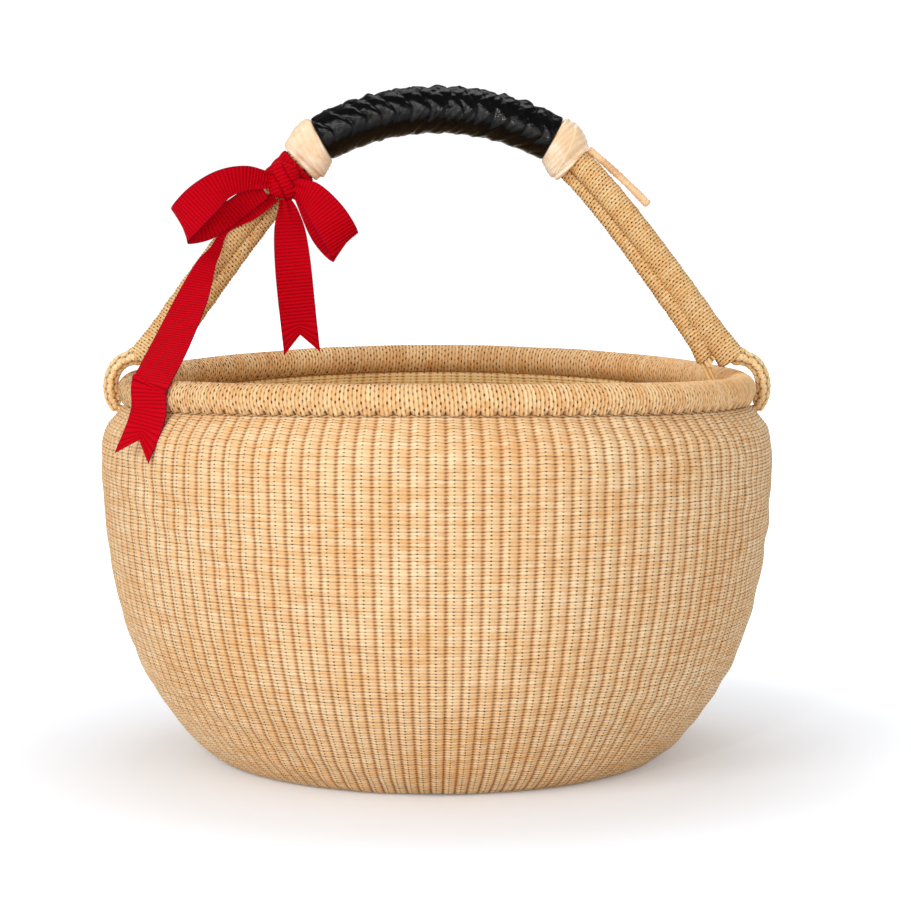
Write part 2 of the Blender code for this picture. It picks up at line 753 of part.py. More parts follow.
def foot_braid(parent, name, side):
    """Braided sleeve on the strand, over the rim's outside and in to the wall."""
    route = loop_route()
    last = LOOP_STEPS * (1 + BRAID_LAST_POINT) + 1
    points = route[1 : last + 1]
    rod_out = leg_frame(LEG_LENGTH)[1]
    sections = []
    bore = flat_bore(STRAND_RADIUS, ROD_SIDES)
    for i, place in enumerate(points):
        way = (route[i + 2] - route[i]).normalized()
        out = Vector((-way.y, way.x))
        slant = 1.0
        if i == 0:
            slant = 1 / rod_out.dot(out)
            out = rod_out
        share = i / (len(points) - 1)
        taper = 1 - (1 - BRAID_END_SHARE) * ease((share - BRAID_TAPER_SHARE) / (1 - BRAID_TAPER_SHARE))
        thick = BRAID_THICKNESS / 2 * taper
        deep = BRAID_WIDTH / 2 * (1 - BRAID_NARROW_SHARE * (1 - math.sin(math.pi * share)))
        sections.append(Section(place, out, thick * slant, deep, bore * slant, bore))
    finish = material("rim_straw", RIM_STRAW, 0.65)
    return make_object(name, loft(sections, ROD_SIDES, side), finish, parent)


def grip_leather(parent):
    """Leather round the grip, drawn in a little at both ends."""
    sections = []
    bore = flat_bore(GRIP_CORE_RADIUS, GRIP_SIDES)
    for i in range(LEATHER_SECTIONS + 1):
        share = 2 * i / LEATHER_SECTIONS - 1
        place, out = arc_frame(GRIP_HALF_ANGLE * share)
        drawn = LEATHER_DRAW_SHARE * (LEATHER_RADIUS - bore) * abs(share) ** LEATHER_DRAW_POWER
        radius = LEATHER_RADIUS - drawn
        sections.append(Section(place, out, radius, radius, bore))
    finish = material("black_leather", BLACK_LEATHER, 0.35)
    return make_object("grip_leather", loft(sections, GRIP_SIDES), finish, parent)


def collar_frame(share):
    """Middle line of a collar: it leans from the grip's middle to the middle of the two rods."""
    length = PIECE_GAP + COLLAR_WIDTH * share
    place, out = leg_frame(length)
    pair_place, pair_out, half = pair_frame(COLLAR_WIDTH)
    low_shift = (pair_place - leg_frame(COLLAR_WIDTH)[0]).dot(pair_out)
    return place + out * (low_shift * ease(share)), out, half


def collar(parent, name, side):
    """Rawhide band, round at the leather and oval round the two rods."""
    sections = []
    for i in range(COLLAR_SECTIONS + 1):
        share = i / COLLAR_SECTIONS
        place, out, half = collar_frame(share)
        bore = GRIP_CORE_RADIUS + PIECE_GAP
        bore = flat_bore(max(bore, half), COLLAR_SIDES)
        top_depth = flat_bore(GRIP_CORE_RADIUS, COLLAR_SIDES)
        low_depth = flat_bore(outer_rod_radius(COLLAR_WIDTH) * PAIR_DEPTH_SHARE, COLLAR_SIDES)
        bore_depth = top_depth + (low_depth - top_depth) * ease(share)
        bulge = COLLAR_BULGE * math.sin(math.pi * share)
        skin = COLLAR_THICKNESS + bulge
        fullness = 2 + (PAIR_FULLNESS - 2) * ease(share)
        sections.append(Section(place, out, bore + skin, bore_depth + skin, bore, bore_depth, 0.0, fullness))
    return make_object(name, loft(sections, COLLAR_SIDES, side), material("rawhide", RAWHIDE, 0.6), parent)


def thong_route():
    """From the collar's outer edge down beside the leg."""
    place, out, half = collar_frame(1.0)
    way = Vector((out.y, -out.x))
    start = place + out * THONG_OUT + way * THONG_LEAD
    return [start + (out * share + way * lead) * THONG_LENGTH for share, lead in THONG_SHARES]


def collar_thong(parent):
    """Rolled end of the right collar's thong, a stiff cord beside the leg."""
    curve = bpy.data.curves.new("collar_thong", "CURVE")
    curve.dimensions = "3D"
    curve.bevel_depth = THONG_RADIUS
    curve.bevel_resolution = 2
    curve.use_fill_caps = True
    spline = curve.splines.new("POLY")
    route = thong_route()
    spline.points.add(len(route) - 1)
    for point, place in zip(spline.points, route):
        moved = Vector((place.x, 0.0, place.y)) - parent.location
        point.co = (moved.x, moved.y, moved.z, 1.0)
    curve.materials.append(material("rawhide", RAWHIDE, 0.6))
    obj = bpy.data.objects.new("collar_thong", curve)
    bpy.context.scene.collection.objects.link(obj)
    obj.parent = parent
    return obj


BAND_MIDDLE = COLLAR_WIDTH + 4 * PIECE_GAP + BAND_WIDTH / 2


def band_size(length):
    """Half width and half depth of the two rods with the ribbon's clearance."""
    place, out, half = pair_frame(length)
    depth = outer_rod_radius(length) * PAIR_DEPTH_SHARE
    return place, out, flat_bore(half, COLLAR_SIDES), flat_bore(depth, COLLAR_SIDES)


def ribbon_band(parent):
    """Ribbon round the left leg under its collar, drawn together at its middle."""
    sections = []
    for i in range(BAND_SECTIONS + 1):
        share = i / BAND_SECTIONS
        place, out, bore, bore_depth = band_size(BAND_MIDDLE + BAND_WIDTH * (share - 0.5))
        skin = RIBBON_THICKNESS * (2 - BAND_THIN_SHARE * math.sin(math.pi * share))
        outer = (bore + skin, bore_depth + skin)
        sections.append(Section(place, out, *outer, bore, bore_depth, 0.0, PAIR_FULLNESS))
    finish = material("red_ribbon", RED_RIBBON, 0.5)
    return make_object("ribbon_band", loft(sections, COLLAR_SIDES, -1), finish, parent)


def knot_centre():
    place, out, bore, bore_depth = band_size(BAND_MIDDLE + KNOT_LEAD)
    front = bore_depth + 2 * RIBBON_THICKNESS + PIECE_GAP + KNOT_DEPTH / 2
    return Vector((-place.x, -front, place.y))


KNOT_CENTRE = knot_centre()


def ribbon_knot(parent):
    """Flattened knot in front of the band, with a turn of ribbon drawn in round its middle."""
    bm = bmesh.new()
    lean = Matrix.Rotation(KNOT_LEAN, 3, "Y")
    rings = []
    for row in range(1, KNOT_ROWS):
        fall = math.pi * row / KNOT_ROWS
        full = math.sin(fall) ** KNOT_ROUNDNESS
        ring = []
        for i in range(KNOT_SIDES):
            turn = 2 * math.pi * i / KNOT_SIDES
            drawn = KNOT_END_SHARE * math.cos(fall) ** 2
            waist = 1 - drawn + KNOT_TURN_SHARE * math.cos(2 * turn) * math.sin(fall)
            x = KNOT_WIDTH / 2 * full * math.cos(turn) * waist
            y = KNOT_DEPTH / 2 * full * math.sin(turn)
            z = KNOT_HEIGHT / 2 * math.cos(fall)
            ring.append(bm.verts.new(KNOT_CENTRE + lean @ Vector((x, y, z))))
        rings.append(ring)
    for low, high in zip(rings, rings[1:]):
        bridge(bm, low, high)
    bm.faces.new(rings[0])
    bm.faces.new(rings[-1])
    finish = material("red_ribbon", RED_RIBBON, 0.5)
    return make_object("ribbon_knot", bm, finish, parent)


def strip(stations, notch=0.0):
    """Thin ribbon through stations of middle, width direction and half width. A notch cuts the end."""
    bm = bmesh.new()
    rings = []
    last = len(stations) - 1
    for i, (middle, across, half) in enumerate(stations):
        way = (stations[min(i + 1, last)][0] - stations[max(i - 1, 0)][0]).normalized()
        across = (across - way * across.dot(way)).normalized()
        face = way.cross(across).normalized()
        tips = way * (notch if i == last else 0.0)
        lift = face * (RIBBON_THICKNESS / 2)
        left = middle - across * half + tips
        right = middle + across * half + tips
        middle = middle - tips * NOTCH_BACK_SHARE
        ring = []
        for place in (left - lift, middle - lift, right - lift, right + lift, middle + lift, left + lift):
            ring.append(bm.verts.new(place))
        rings.append(ring)
    for low, high in zip(rings, rings[1:]):
        for i in range(6):
            j = (i + 1) % 6
            # Front and back are cut along the same diagonals, so that a twist keeps the ribbon's thickness
            near, far = (i, j) if i < 2 else (j, i)
            bm.faces.new((low[near], low[far], high[far]))
            bm.faces.new((low[near], high[far], high[near]))
    for ring in (rings[0], rings[-1]):
        bm.faces.new((ring[0], ring[1], ring[4], ring[5]))
        bm.faces.new((ring[1], ring[2], ring[3], ring[4]))
    return bm


def knot_stations(shares, reach):
    stations = []
    for place, across, half in shares:
        middle = KNOT_CENTRE + Vector(place) * reach
        stations.append((middle, Vector(across).normalized(), half * RIBBON_WIDTH))
    return stations


def finer(stations, steps):
    """More stations on smooth curves through the given ones."""
    middles = smooth_route([s[0] for s in stations], steps)
    ways = smooth_route([s[1] for s in stations], steps)
    halves = smooth_route([Vector((s[2], 0.0)) for s in stations], steps)
    return [(m, w.normalized(), h.x) for m, w, h in zip(middles, ways, halves)]


def rim_direction():
    return Vector((math.cos(LEFT_TAIL_AZIMUTH), math.sin(LEFT_TAIL_AZIMUTH), 0.0))


def left_tail_stations():
    """From the knot to the rim through the air, then down outside with one edge on the roll and wall."""
    radial = rim_direction()
    centre = radial * RIM_RADIUS + Vector((0.0, 0.0, rim_height(LEFT_TAIL_AZIMUTH)))
    turn_step = (ROLL_TURN_START - ROLL_TURN_END) / ROLL_TURN_STEPS
    lift = (RIM_ROLL_RADIUS + PIECE_GAP) / math.cos(turn_step / 2) + RIBBON_THICKNESS / 2
    edges = []
    for i in range(ROLL_TURN_STEPS + 1):
        turn = ROLL_TURN_START - turn_step * i
        edges.append(centre + radial * (lift * math.cos(turn)) + Vector((0.0, 0.0, lift * math.sin(turn))))
    top = edges[-1].z
    for i in range(1, WALL_TAIL_STEPS + 1):
        height = top - LEFT_TAIL_DROP * i / WALL_TAIL_STEPS
        reach = wall_radius(height, LEFT_TAIL_AZIMUTH) + 2 * PIECE_GAP + RIBBON_THICKNESS / 2
        reach = max(reach, RIM_RADIUS + lift)
        edges.append(radial * reach + Vector((0.0, 0.0, height)))
    half = RIBBON_WIDTH / 2
    first, last = [Vector(share).normalized() for share in RIM_TAIL_TURN_SHARES]
    hanging = []
    for i, edge in enumerate(edges):
        across = first.lerp(last, i / (len(edges) - 1)).normalized()
        hanging.append((edge - across * half, across, half))
    stations = []
    way = hanging[0][0] - KNOT_CENTRE
    for share, across, width in LEFT_TAIL_SHARES:
        middle = KNOT_CENTRE + Vector([part * whole for part, whole in zip(share, way)])
        stations.append((middle, Vector(across).normalized(), width * RIBBON_WIDTH))
    return stations + hanging


def ribbon_pieces(parent):
    finish = material("red_ribbon", RED_RIBBON, 0.5)
    left_loop = finer(knot_stations(LEFT_LOOP_SHARES, LOOP_REACH), RIBBON_STEPS)
    make_object("ribbon_left_loop", strip(left_loop), finish, parent)
    right_loop = finer(knot_stations(RIGHT_LOOP_SHARES, RIGHT_LOOP_REACH), RIBBON_STEPS)
    make_object("ribbon_right_loop", strip(right_loop), finish, parent)
    right_tail = finer(knot_stations(RIGHT_TAIL_SHARES, RIGHT_TAIL_LENGTH), RIBBON_STEPS)
    make_object("ribbon_right_tail", strip(right_tail, TAIL_NOTCH), finish, parent)
    left_tail = left_tail_stations()
    make_object("ribbon_left_tail", strip(left_tail, TAIL_NOTCH), finish, parent)


def main():
    clear_scene()
    basket = make_empty("basket_frame", Vector((0.0, 0.0, 0.0)))
    handle = make_empty("handle_pivot", Vector((0.0, 0.0, PIVOT_HEIGHT)))
    base_weave(basket)
    wall_weave(basket)
    rim_core(basket)
    rim_wrap(basket)
    handle_core(handle)
    for word, side in (("left", -1), ("right", 1)):
        outer_leg_wrap(handle, word + "_outer_leg_wrap", side)
        inner_leg_wrap(handle, word + "_inner_leg_wrap", side)
        foot_braid(handle, word + "_foot_braid", side)
        collar(handle, word + "_collar", side)
    grip_leather(handle)
    collar_thong(handle)
    ribbon_band(handle)
    ribbon_knot(handle)
    ribbon_pieces(handle)
    bpy.context.view_layer.update()


main()
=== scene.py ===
"""Round straw basket with a leather-bound handle and a ribbon bow, dressed over its solids."""

import math

import bpy
import numpy as np
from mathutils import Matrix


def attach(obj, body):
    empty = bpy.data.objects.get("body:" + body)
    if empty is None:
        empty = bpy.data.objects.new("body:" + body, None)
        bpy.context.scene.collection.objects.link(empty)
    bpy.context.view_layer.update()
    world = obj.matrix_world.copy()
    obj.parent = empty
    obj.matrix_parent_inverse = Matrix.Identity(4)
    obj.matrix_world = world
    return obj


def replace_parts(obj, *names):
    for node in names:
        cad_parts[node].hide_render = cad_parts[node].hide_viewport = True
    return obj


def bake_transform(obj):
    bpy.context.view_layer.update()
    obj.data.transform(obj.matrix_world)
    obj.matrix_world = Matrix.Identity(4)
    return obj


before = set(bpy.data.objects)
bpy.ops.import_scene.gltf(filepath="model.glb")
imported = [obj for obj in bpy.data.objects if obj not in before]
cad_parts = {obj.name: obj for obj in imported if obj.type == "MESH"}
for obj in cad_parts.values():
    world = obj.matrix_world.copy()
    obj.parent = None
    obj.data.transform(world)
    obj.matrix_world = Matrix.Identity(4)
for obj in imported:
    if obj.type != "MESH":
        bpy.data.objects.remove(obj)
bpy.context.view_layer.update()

# ---------------------------------------------------------------- sizes, in metres
COLUMNS = 126
ROW_PITCH = 0.0020
RIB = 0.0012
ROW_SWELL = 0.00042
WALL_THICKNESS = 0.006
BASE_RADIUS = 0.128
RIM_RADIUS = 0.1845
RIM_HEIGHT = 0.2268
RIM_DIP = 0.003
ROLL_RADIUS = 0.0091
WALL_TOP_DROP = 0.0069
PIVOT_HEIGHT = 0.2096
LEATHER_RADIUS = 0.0144
GRIP_BEND = 0.147
GRIP_TOP = 0.406
GRIP_HALF_ANGLE = math.radians(28.4)
COLLAR_WIDTH = 0.0195
WRAP_START = COLLAR_WIDTH * 0.8
STRAND_RADIUS = 0.0028
FLARE_LENGTH = 0.026
RIBBON_WIDTH = 0.022
RIBBON_THICKNESS = 0.0008
RIBBON_PITCH = 0.0021
KNOT = np.array((-0.09205, -0.01456, 0.34895))

WALL_OUTLINE = np.array((
    (0.1280, 0.0), (0.1343, 0.007), (0.1495, 0.064), (0.1651, 0.155), (0.17994, 0.272),
    (0.19218, 0.435), (0.19923, 0.62), (0.2022, 0.83), (0.20014, 0.91), (0.19544, 0.948),
    (0.18956, 0.982), (0.1875, 1.0),
))
# The strand's way round the rim, outward and upward from the roll's middle, per loop radius
LOOP_SHARES = (
    (0.54, 1.06), (0.825, 0.70), (0.972, 0.27), (0.988, -0.14), (0.945, -0.53), (0.80, -0.83),
    (0.56, -0.985), (0.35, -1.0), (-0.35, -1.0), (-0.68, -0.93), (-0.90, -0.58), (-1.03, -0.04),
    (-1.30, 0.52),
)
LOOP_RADIUS = 0.0142


# ---------------------------------------------------------------- curves and surfaces
def curve_through(points, count):
    """Catmull-Rom curve: each stretch is a cubic whose end slopes are half the chord past each end."""
    p = np.asarray(points, float)
    p = np.vstack((p[:1], p, p[-1:]))
    t = np.linspace(0.0, len(p) - 3, count)
    i = np.minimum(t.astype(int), len(p) - 4)
    t = (t - i)[:, None]
    a, b, c, d = p[i], p[i + 1], p[i + 2], p[i + 3]
    return b + (c - a) * t / 2 + (2 * a - 5 * b + 4 * c - d) * t**2 / 2 + (3 * b - a - 3 * c + d) * t**3 / 2


def lengths(points):
    """Length along a row of points, from the first."""
    return np.concatenate(([0.0], np.cumsum(np.linalg.norm(np.diff(points, axis=0), axis=1))))


def along(points, places):
    """Points of a polyline at the given lengths along it."""
    span = lengths(points)
    return np.stack([np.interp(places, span, points[:, k]) for k in range(points.shape[1])], axis=1)


def slopes(points):
    """Unit direction at each point, from its two neighbours."""
    way = np.gradient(points, axis=0)
    return way / np.linalg.norm(way, axis=1, keepdims=True)


def ease(value):
    """Smooth step: 3v^2 - 2v^3 between 0 and 1."""
    value = np.clip(value, 0.0, 1.0)
    return value * value * (3 - 2 * value)


def ripple(place, seed, waves=7, low=1.0, high=6.0):
    """Smooth uneven value near -1 to 1: the mean of a few sines of seeded pitch and phase."""
    rng = np.random.default_rng(seed)
    total = 0.0
    for _ in range(waves):
        total = total + np.sin(place * rng.uniform(low, high) + rng.uniform(0, 2 * math.pi))
    return total / math.sqrt(waves)


def lattice(n, m, start=0, ring_n=False, ring_m=False):
    """Quads between neighbours of an n by m grid of points, with marks of the corners past a seam."""
    i, j = np.meshgrid(np.arange(n if ring_n else n - 1), np.arange(m if ring_m else m - 1), indexing="ij")
    i, j = i.ravel(), j.ravel()
    ci = np.stack((i, i + 1, i + 1, i), axis=1)
    cj = np.stack((j, j, j + 1, j + 1), axis=1)
    return start + (ci % n) * m + cj % m, ci // n, cj // m


class Shell:
    """Points, faces and pattern places of one piece, put together from whole arrays."""

    def __init__(self):
        self.points = []
        self.uv = []
        self.faces = []
        self.face_uv = []
        self.count = 0

    def add(self, points, uv):
        start = self.count
        self.points.append(points.reshape(-1, 3))
        self.uv.append(uv.reshape(-1, 2))
        self.count += len(self.points[-1])
        return start

    def place_faces(self, corners, shift=None):
        self.faces.append(corners)
        self.face_uv.append(shift)

    def grid(self, points, uv, ring_n=False, ring_m=False, period=(0.0, 0.0), flip=False):
        """A grid of points as quads. At a seam the pattern place goes on by its period."""
        n, m = points.shape[:2]
        start = self.add(points, uv)
        corners, past_n, past_m = lattice(n, m, start, ring_n, ring_m)
        shift = past_n[..., None] * np.array((0.0, 1.0)) * period[1] + past_m[..., None] * np.array((1.0, 0.0)) * period[0]
        if flip:
            corners, shift = corners[:, ::-1], shift[:, ::-1]
        self.place_faces(corners, shift)
        return start

    def fan(self, ring, flip=False):
        """Closes a ring of point numbers with triangles to their mean point."""
        flat = np.concatenate(self.points)
        places = np.concatenate(self.uv)
        middle = self.add(flat[ring].mean(axis=0), places[ring].mean(axis=0))
        corners = np.stack((ring, np.roll(ring, -1), np.full(len(ring), middle)), axis=1)
        self.place_faces(corners[:, ::-1] if flip else corners)

    def ladder(self, fine, coarse, flip=False):
        """Triangles between a fine row of point numbers and a coarse one along it."""
        ratio = (len(fine) - 1) // (len(coarse) - 1)
        k = np.arange(len(fine) - 1)
        first = np.stack((fine[:-1], fine[1:], coarse[(k + ratio // 2) // ratio]), axis=1)
        edge = (k + ratio // 2) // ratio
        turn = np.nonzero(np.diff(edge))[0] + 1
        second = np.stack((coarse[edge[turn]], coarse[edge[turn - 1]], fine[turn]), axis=1)
        rest = []
        if edge[-1] < len(coarse) - 1:
            rest = np.stack((coarse[edge[-1] + 1 :], coarse[edge[-1] : -1], np.full(len(coarse) - 1 - edge[-1], fine[-1])), axis=1)
        for corners in (first, second, rest):
            if len(corners):
                self.place_faces(corners[:, ::-1] if flip else corners)

    def piece(self, name, finish, sharp=60.0, painted_shade=None):
        """The mesh object, at the origin. Its painted shade values darken the first points of its straw: painted shade.
        """
        points = np.concatenate(self.points)
        uv = np.concatenate(self.uv)
        faces = []
        loops = []
        for corners, shift in zip(self.faces, self.face_uv):
            faces += corners.tolist()
            place = uv[corners]
            if shift is not None:
                place = place + shift
            loops.append(place.reshape(-1, 2))
        mesh = bpy.data.meshes.new(name)
        mesh.from_pydata(points.tolist(), [], faces)
        layer = mesh.uv_layers.new(name="UVMap")
        layer.data.foreach_set("uv", np.concatenate(loops).astype(np.float32).ravel())
        if painted_shade is not None:
            marks = mesh.attributes.new("painted_shade", "FLOAT", "POINT")
            marks.data.foreach_set("value", np.pad(np.ravel(painted_shade), (0, len(points) - np.size(painted_shade))).astype(np.float32))
        mesh.shade_smooth()
        mesh.set_sharp_from_angle(angle=math.radians(sharp))
        mesh.materials.append(finish)
        made = bpy.data.objects.new(name, mesh)
        bpy.context.scene.collection.objects.link(made)
        return made


def turns_grid(n, m):
    return np.broadcast_to(np.arange(m) * 2 * math.pi / m, (n, m)).copy()


def skin(name, material, middle, out, wide, deep, turn, uv, side, period_v, back=0.0, painted_shade=None):
    """Closed skin round a middle line in the handle's plane.

    A point is the middle, plus out times wide times the cosine of its turn, less deep times the sine
    along Y. A side of -1 makes the other hand. The pattern's second place goes on round the rod, and
    back moves each section away from the front.
    """
    shell = Shell()
    reach = wide * np.cos(turn)
    points = np.empty(reach.shape + (3,))
    points[..., 0] = side * (middle[:, None, 0] + out[:, None, 0] * reach)
    points[..., 1] = np.reshape(back, (-1, 1)) - deep * np.sin(turn)
    points[..., 2] = middle[:, None, 1] + out[:, None, 1] * reach
    n, m = reach.shape
    start = shell.add(points, uv)
    corners, past_n, past_m = lattice(n, m, start, False, True)
    row = (corners - start) // m
    shift = past_m[..., None] * np.array((0.0, 1.0)) * np.asarray(period_v)[row][..., None]
    if side < 0:
        corners, shift = corners[:, ::-1], shift[:, ::-1]
    shell.place_faces(corners, shift)
    shell.fan(start + np.arange(m)[::-1], side < 0)
    shell.fan(start + (n - 1) * m + np.arange(m), side < 0)
    return shell.piece(name, material, painted_shade=painted_shade)


def near_turn(turn, degrees, width):
    """1 at the given turn, easing to 0 at the width in radians on both sides."""
    return ease(1 - np.abs(np.angle(np.exp(1j * (turn - math.radians(degrees))))) / width)


# ---------------------------------------------------------------- shader webs
class Web:
    """Short calls for the nodes of one material or group."""

    def __init__(self, tree):
        self.tree = tree

    def put(self, kind, inputs=(), **settings):
        node = self.tree.nodes.new(kind)
        for key, value in settings.items():
            setattr(node, key, value)
        pairs = inputs.items() if isinstance(inputs, dict) else enumerate(inputs)
        for key, value in pairs:
            if value is None:
                continue
            if isinstance(value, bpy.types.NodeSocket):
                self.tree.links.new(value, node.inputs[key])
            else:
                node.inputs[key].default_value = value
        return node

    def math(self, operation, *values, clamp=False):
        return self.put("ShaderNodeMath", values, operation=operation, use_clamp=clamp).outputs[0]

    def fade(self, value, low, high):
        """1 where the value is at or below low, 0 at or above high."""
        node = self.put("ShaderNodeMapRange", {0: value, 1: low, 2: high, 3: 1.0, 4: 0.0}, interpolation_type="SMOOTHSTEP")
        return node.outputs[0]

    def mix(self, share, first, second, blend="MIX"):
        node = self.put("ShaderNodeMix", data_type="RGBA", blend_type=blend)
        for key, value in ((0, share), (6, first), (7, second)):
            if isinstance(value, bpy.types.NodeSocket):
                self.tree.links.new(value, node.inputs[key])
            else:
                node.inputs[key].default_value = value
        return node.outputs[2]

    def noise(self, place, scale, detail=2.0, rough=0.5):
        node = self.put("ShaderNodeTexNoise", {"Vector": place, "Scale": scale, "Detail": detail, "Roughness": rough})
        return node.outputs["Fac"]

    def split(self, vector):
        return self.put("ShaderNodeSeparateXYZ", (vector,)).outputs

    def join(self, x, y, z=0.0):
        return self.put("ShaderNodeCombineXYZ", (x, y, z)).outputs[0]

    def bump(self, height, strength, distance, normal=None):
        return self.put("ShaderNodeBump", {"Strength": strength, "Distance": distance, "Height": height, "Normal": normal}).outputs[0]


def effect(name, inputs, outputs):
    """A node group with named inputs and outputs."""
    tree = bpy.data.node_groups.new(name, "ShaderNodeTree")
    for label, kind, value in inputs:
        socket = tree.interface.new_socket(label, in_out="INPUT", socket_type="NodeSocket" + kind)
        if value is not None:
            socket.default_value = value
    for label, kind in outputs:
        tree.interface.new_socket(label, in_out="OUTPUT", socket_type="NodeSocket" + kind)
    web = Web(tree)
    return web, web.put("NodeGroupInput").outputs, web.put("NodeGroupOutput").inputs


def finish(name, rough, web_of, **plain):
    """A material whose web_of function links its own Principled shader."""
    made = bpy.data.materials.new(name)
    made.use_nodes = True
    tree = made.node_tree
    shader = tree.nodes["Principled BSDF"]
    shader.inputs["Roughness"].default_value = rough
    for key, value in plain.items():
        shader.inputs[key.replace("_", " ")].default_value = value
    web_of(Web(tree), shader)
    return made


def shade(r, g, b):
    """Colour from values as a screen shows them."""
    return tuple(((c / 255 + 0.055) / 1.055) ** 2.4 if c > 10 else c / 255 / 12.92 for c in (r, g, b)) + (1.0,)


def twining_effect():
    """Twined rows: gaps between strands, a pinhole where two cross, painted shade in the furrow between ribs, and
    painted side shade in each strand's tone.
    """
    web, given, out = effect(
        "twining",
        (("Place", "Vector", None), ("Cross", "Float", 0.44), ("Slope", "Float", 0.35), ("Furrow", "Float", 0.20)),
        (("Gap", "Float"), ("Pinhole", "Float"), ("Furrow", "Float"), ("Strand", "Float"), ("Height", "Float")),
    )
    u, v, _ = web.split(given["Place"])
    across = web.math("FRACT", u)
    off = web.math("ABSOLUTE", web.math("SUBTRACT", across, given["Cross"]))
    sway = web.noise(web.join(web.math("MULTIPLY", u, 0.5), web.math("MULTIPLY", v, 0.3)), 1.0)
    row = web.math("ADD", web.math("MULTIPLY_ADD", off, given["Slope"], v), web.math("MULTIPLY", sway, 0.35))
    part = web.math("FRACT", row)
    near = web.math("MINIMUM", part, web.math("SUBTRACT", 1.0, part))
    number = web.math("FLOOR", web.math("ADD", row, 0.5))
    chance = web.put("ShaderNodeTexWhiteNoise", {"Vector": web.join(web.math("FLOOR", u), number, 3.0)}, noise_dimensions="3D").outputs[0]
    second = web.math("MULTIPLY_ADD", web.math("PINGPONG", number, 1.0), 0.8, 0.2)
    depth = web.math("MULTIPLY", second, web.math("MULTIPLY_ADD", chance, 1.0, 0.4))
    worn = web.noise(web.join(web.math("MULTIPLY", u, 3.1), web.math("MULTIPLY", v, 1.7)), 1.0)
    depth = web.math("MULTIPLY", depth, web.math("SUBTRACT", 1.35, worn))
    gap = web.math("MULTIPLY", web.fade(near, 0.03, 0.20), depth, clamp=True)
    spot = web.math("SQRT", web.math("ADD", web.math("POWER", web.math("DIVIDE", off, 0.085), 2.0), web.math("POWER", web.math("DIVIDE", near, 0.27), 2.0)))
    pinhole = web.math("MULTIPLY", web.fade(spot, 0.35, 1.0), web.math("MULTIPLY_ADD", chance, 0.5, 0.6), clamp=True)
    edge = web.math("MINIMUM", across, web.math("SUBTRACT", 1.0, across))
    broken = web.math("MULTIPLY_ADD", web.fade(near, 0.02, 0.42), 0.75, 0.22)
    # The furrow is painted shade in the groove between ribs, strongest where it meets the gaps between rows.
    furrow = web.math("MULTIPLY", web.fade(edge, 0.0, given["Furrow"]), web.math("ADD", broken, web.math("MULTIPLY", worn, 0.35)), clamp=True)
    strand = web.put("ShaderNodeTexWhiteNoise", {"Vector": web.join(web.math("FLOOR", web.math("ADD", u, 0.62)), web.math("FLOOR", row), 1.0)}, noise_dimensions="3D").outputs[0]
    streak = web.noise(web.join(web.math("MULTIPLY", u, 0.34), web.math("MULTIPLY", web.math("FLOOR", row), 0.62)), 1.0, 3.0)
    strand = web.math("ADD", web.math("MULTIPLY", strand, 0.55), web.math("MULTIPLY_ADD", streak, 2.1, -0.8))
    # Painted side shade: each column's tone grows tanner away from its left third, most on its right side, as light
    # from the left would shade it.
    strand = web.math("ADD", strand, web.math("MULTIPLY_ADD", web.math("ABSOLUTE", web.math("SUBTRACT", across, 0.3)), 0.9, -0.2), clamp=True)
    high = web.math("SUBTRACT", web.math("SINE", web.math("MULTIPLY", part, math.pi)), web.math("MULTIPLY", pinhole, 0.8))
    for label, value in (("Gap", gap), ("Pinhole", pinhole), ("Furrow", furrow), ("Strand", strand), ("Height", high)):
        web.tree.links.new(value, out[label])
    return web.tree


def winding_effect():
    """Wound strands side by side: dark lines between them, and staggered dashes where strands part."""
    web, given, out = effect(
        "winding",
        (("Place", "Vector", None), ("Dash", "Float", 1.0)),
        (("Gap", "Float"), ("Dash", "Float"), ("Strand", "Float"), ("Height", "Float")),
    )
    u, v, _ = web.split(given["Place"])
    sway = web.noise(web.join(web.math("MULTIPLY", u, 0.15), web.math("MULTIPLY", v, 0.35)), 1.0)
    strip = web.math("MULTIPLY_ADD", sway, 0.7, u)
    part = web.math("FRACT", strip)
    near = web.math("MINIMUM", part, web.math("SUBTRACT", 1.0, part))
    number = web.math("FLOOR", web.math("ADD", strip, 0.5))
    chance = web.put("ShaderNodeTexWhiteNoise", {"Vector": web.join(number, web.math("FLOOR", v), 2.0)}, noise_dimensions="3D").outputs[0]
    stagger = web.math("ADD", v, web.math("MULTIPLY", web.math("PINGPONG", number, 1.0), 0.5))
    stagger = web.math("ADD", stagger, web.math("MULTIPLY", web.put("ShaderNodeTexWhiteNoise", {"Vector": web.join(number, 7.0, 2.0)}, noise_dimensions="3D").outputs[0], 0.4))
    step = web.math("FRACT", stagger)
    off = web.math("ABSOLUTE", web.math("SUBTRACT", step, 0.5))
    spot = web.math("SQRT", web.math("ADD", web.math("POWER", web.math("DIVIDE", near, 0.30), 2.0), web.math("POWER", web.math("DIVIDE", off, 0.30), 2.0)))
    dash = web.math("MULTIPLY", web.math("MULTIPLY", web.fade(spot, 0.3, 1.0), web.math("MULTIPLY_ADD", chance, 0.9, 0.3)), given["Dash"], clamp=True)
    worn = web.noise(web.join(web.math("MULTIPLY", strip, 1.3), web.math("MULTIPLY", v, 0.9)), 1.0)
    gap = web.math("MULTIPLY", web.fade(near, 0.02, 0.20), web.math("MULTIPLY_ADD", worn, 1.5, -0.2), clamp=True)
    strand = web.put("ShaderNodeTexWhiteNoise", {"Vector": web.join(web.math("FLOOR", strip), web.math("FLOOR", web.math("MULTIPLY", v, 0.3)), 5.0)}, noise_dimensions="3D").outputs[0]
    high = web.math("SUBTRACT", web.math("SINE", web.math("MULTIPLY", part, math.pi)), web.math("MULTIPLY", dash, 0.8))
    for label, value in (("Gap", gap), ("Dash", dash), ("Strand", strand), ("Height", high)):
        web.tree.links.new(value, out[label])
    return web.tree


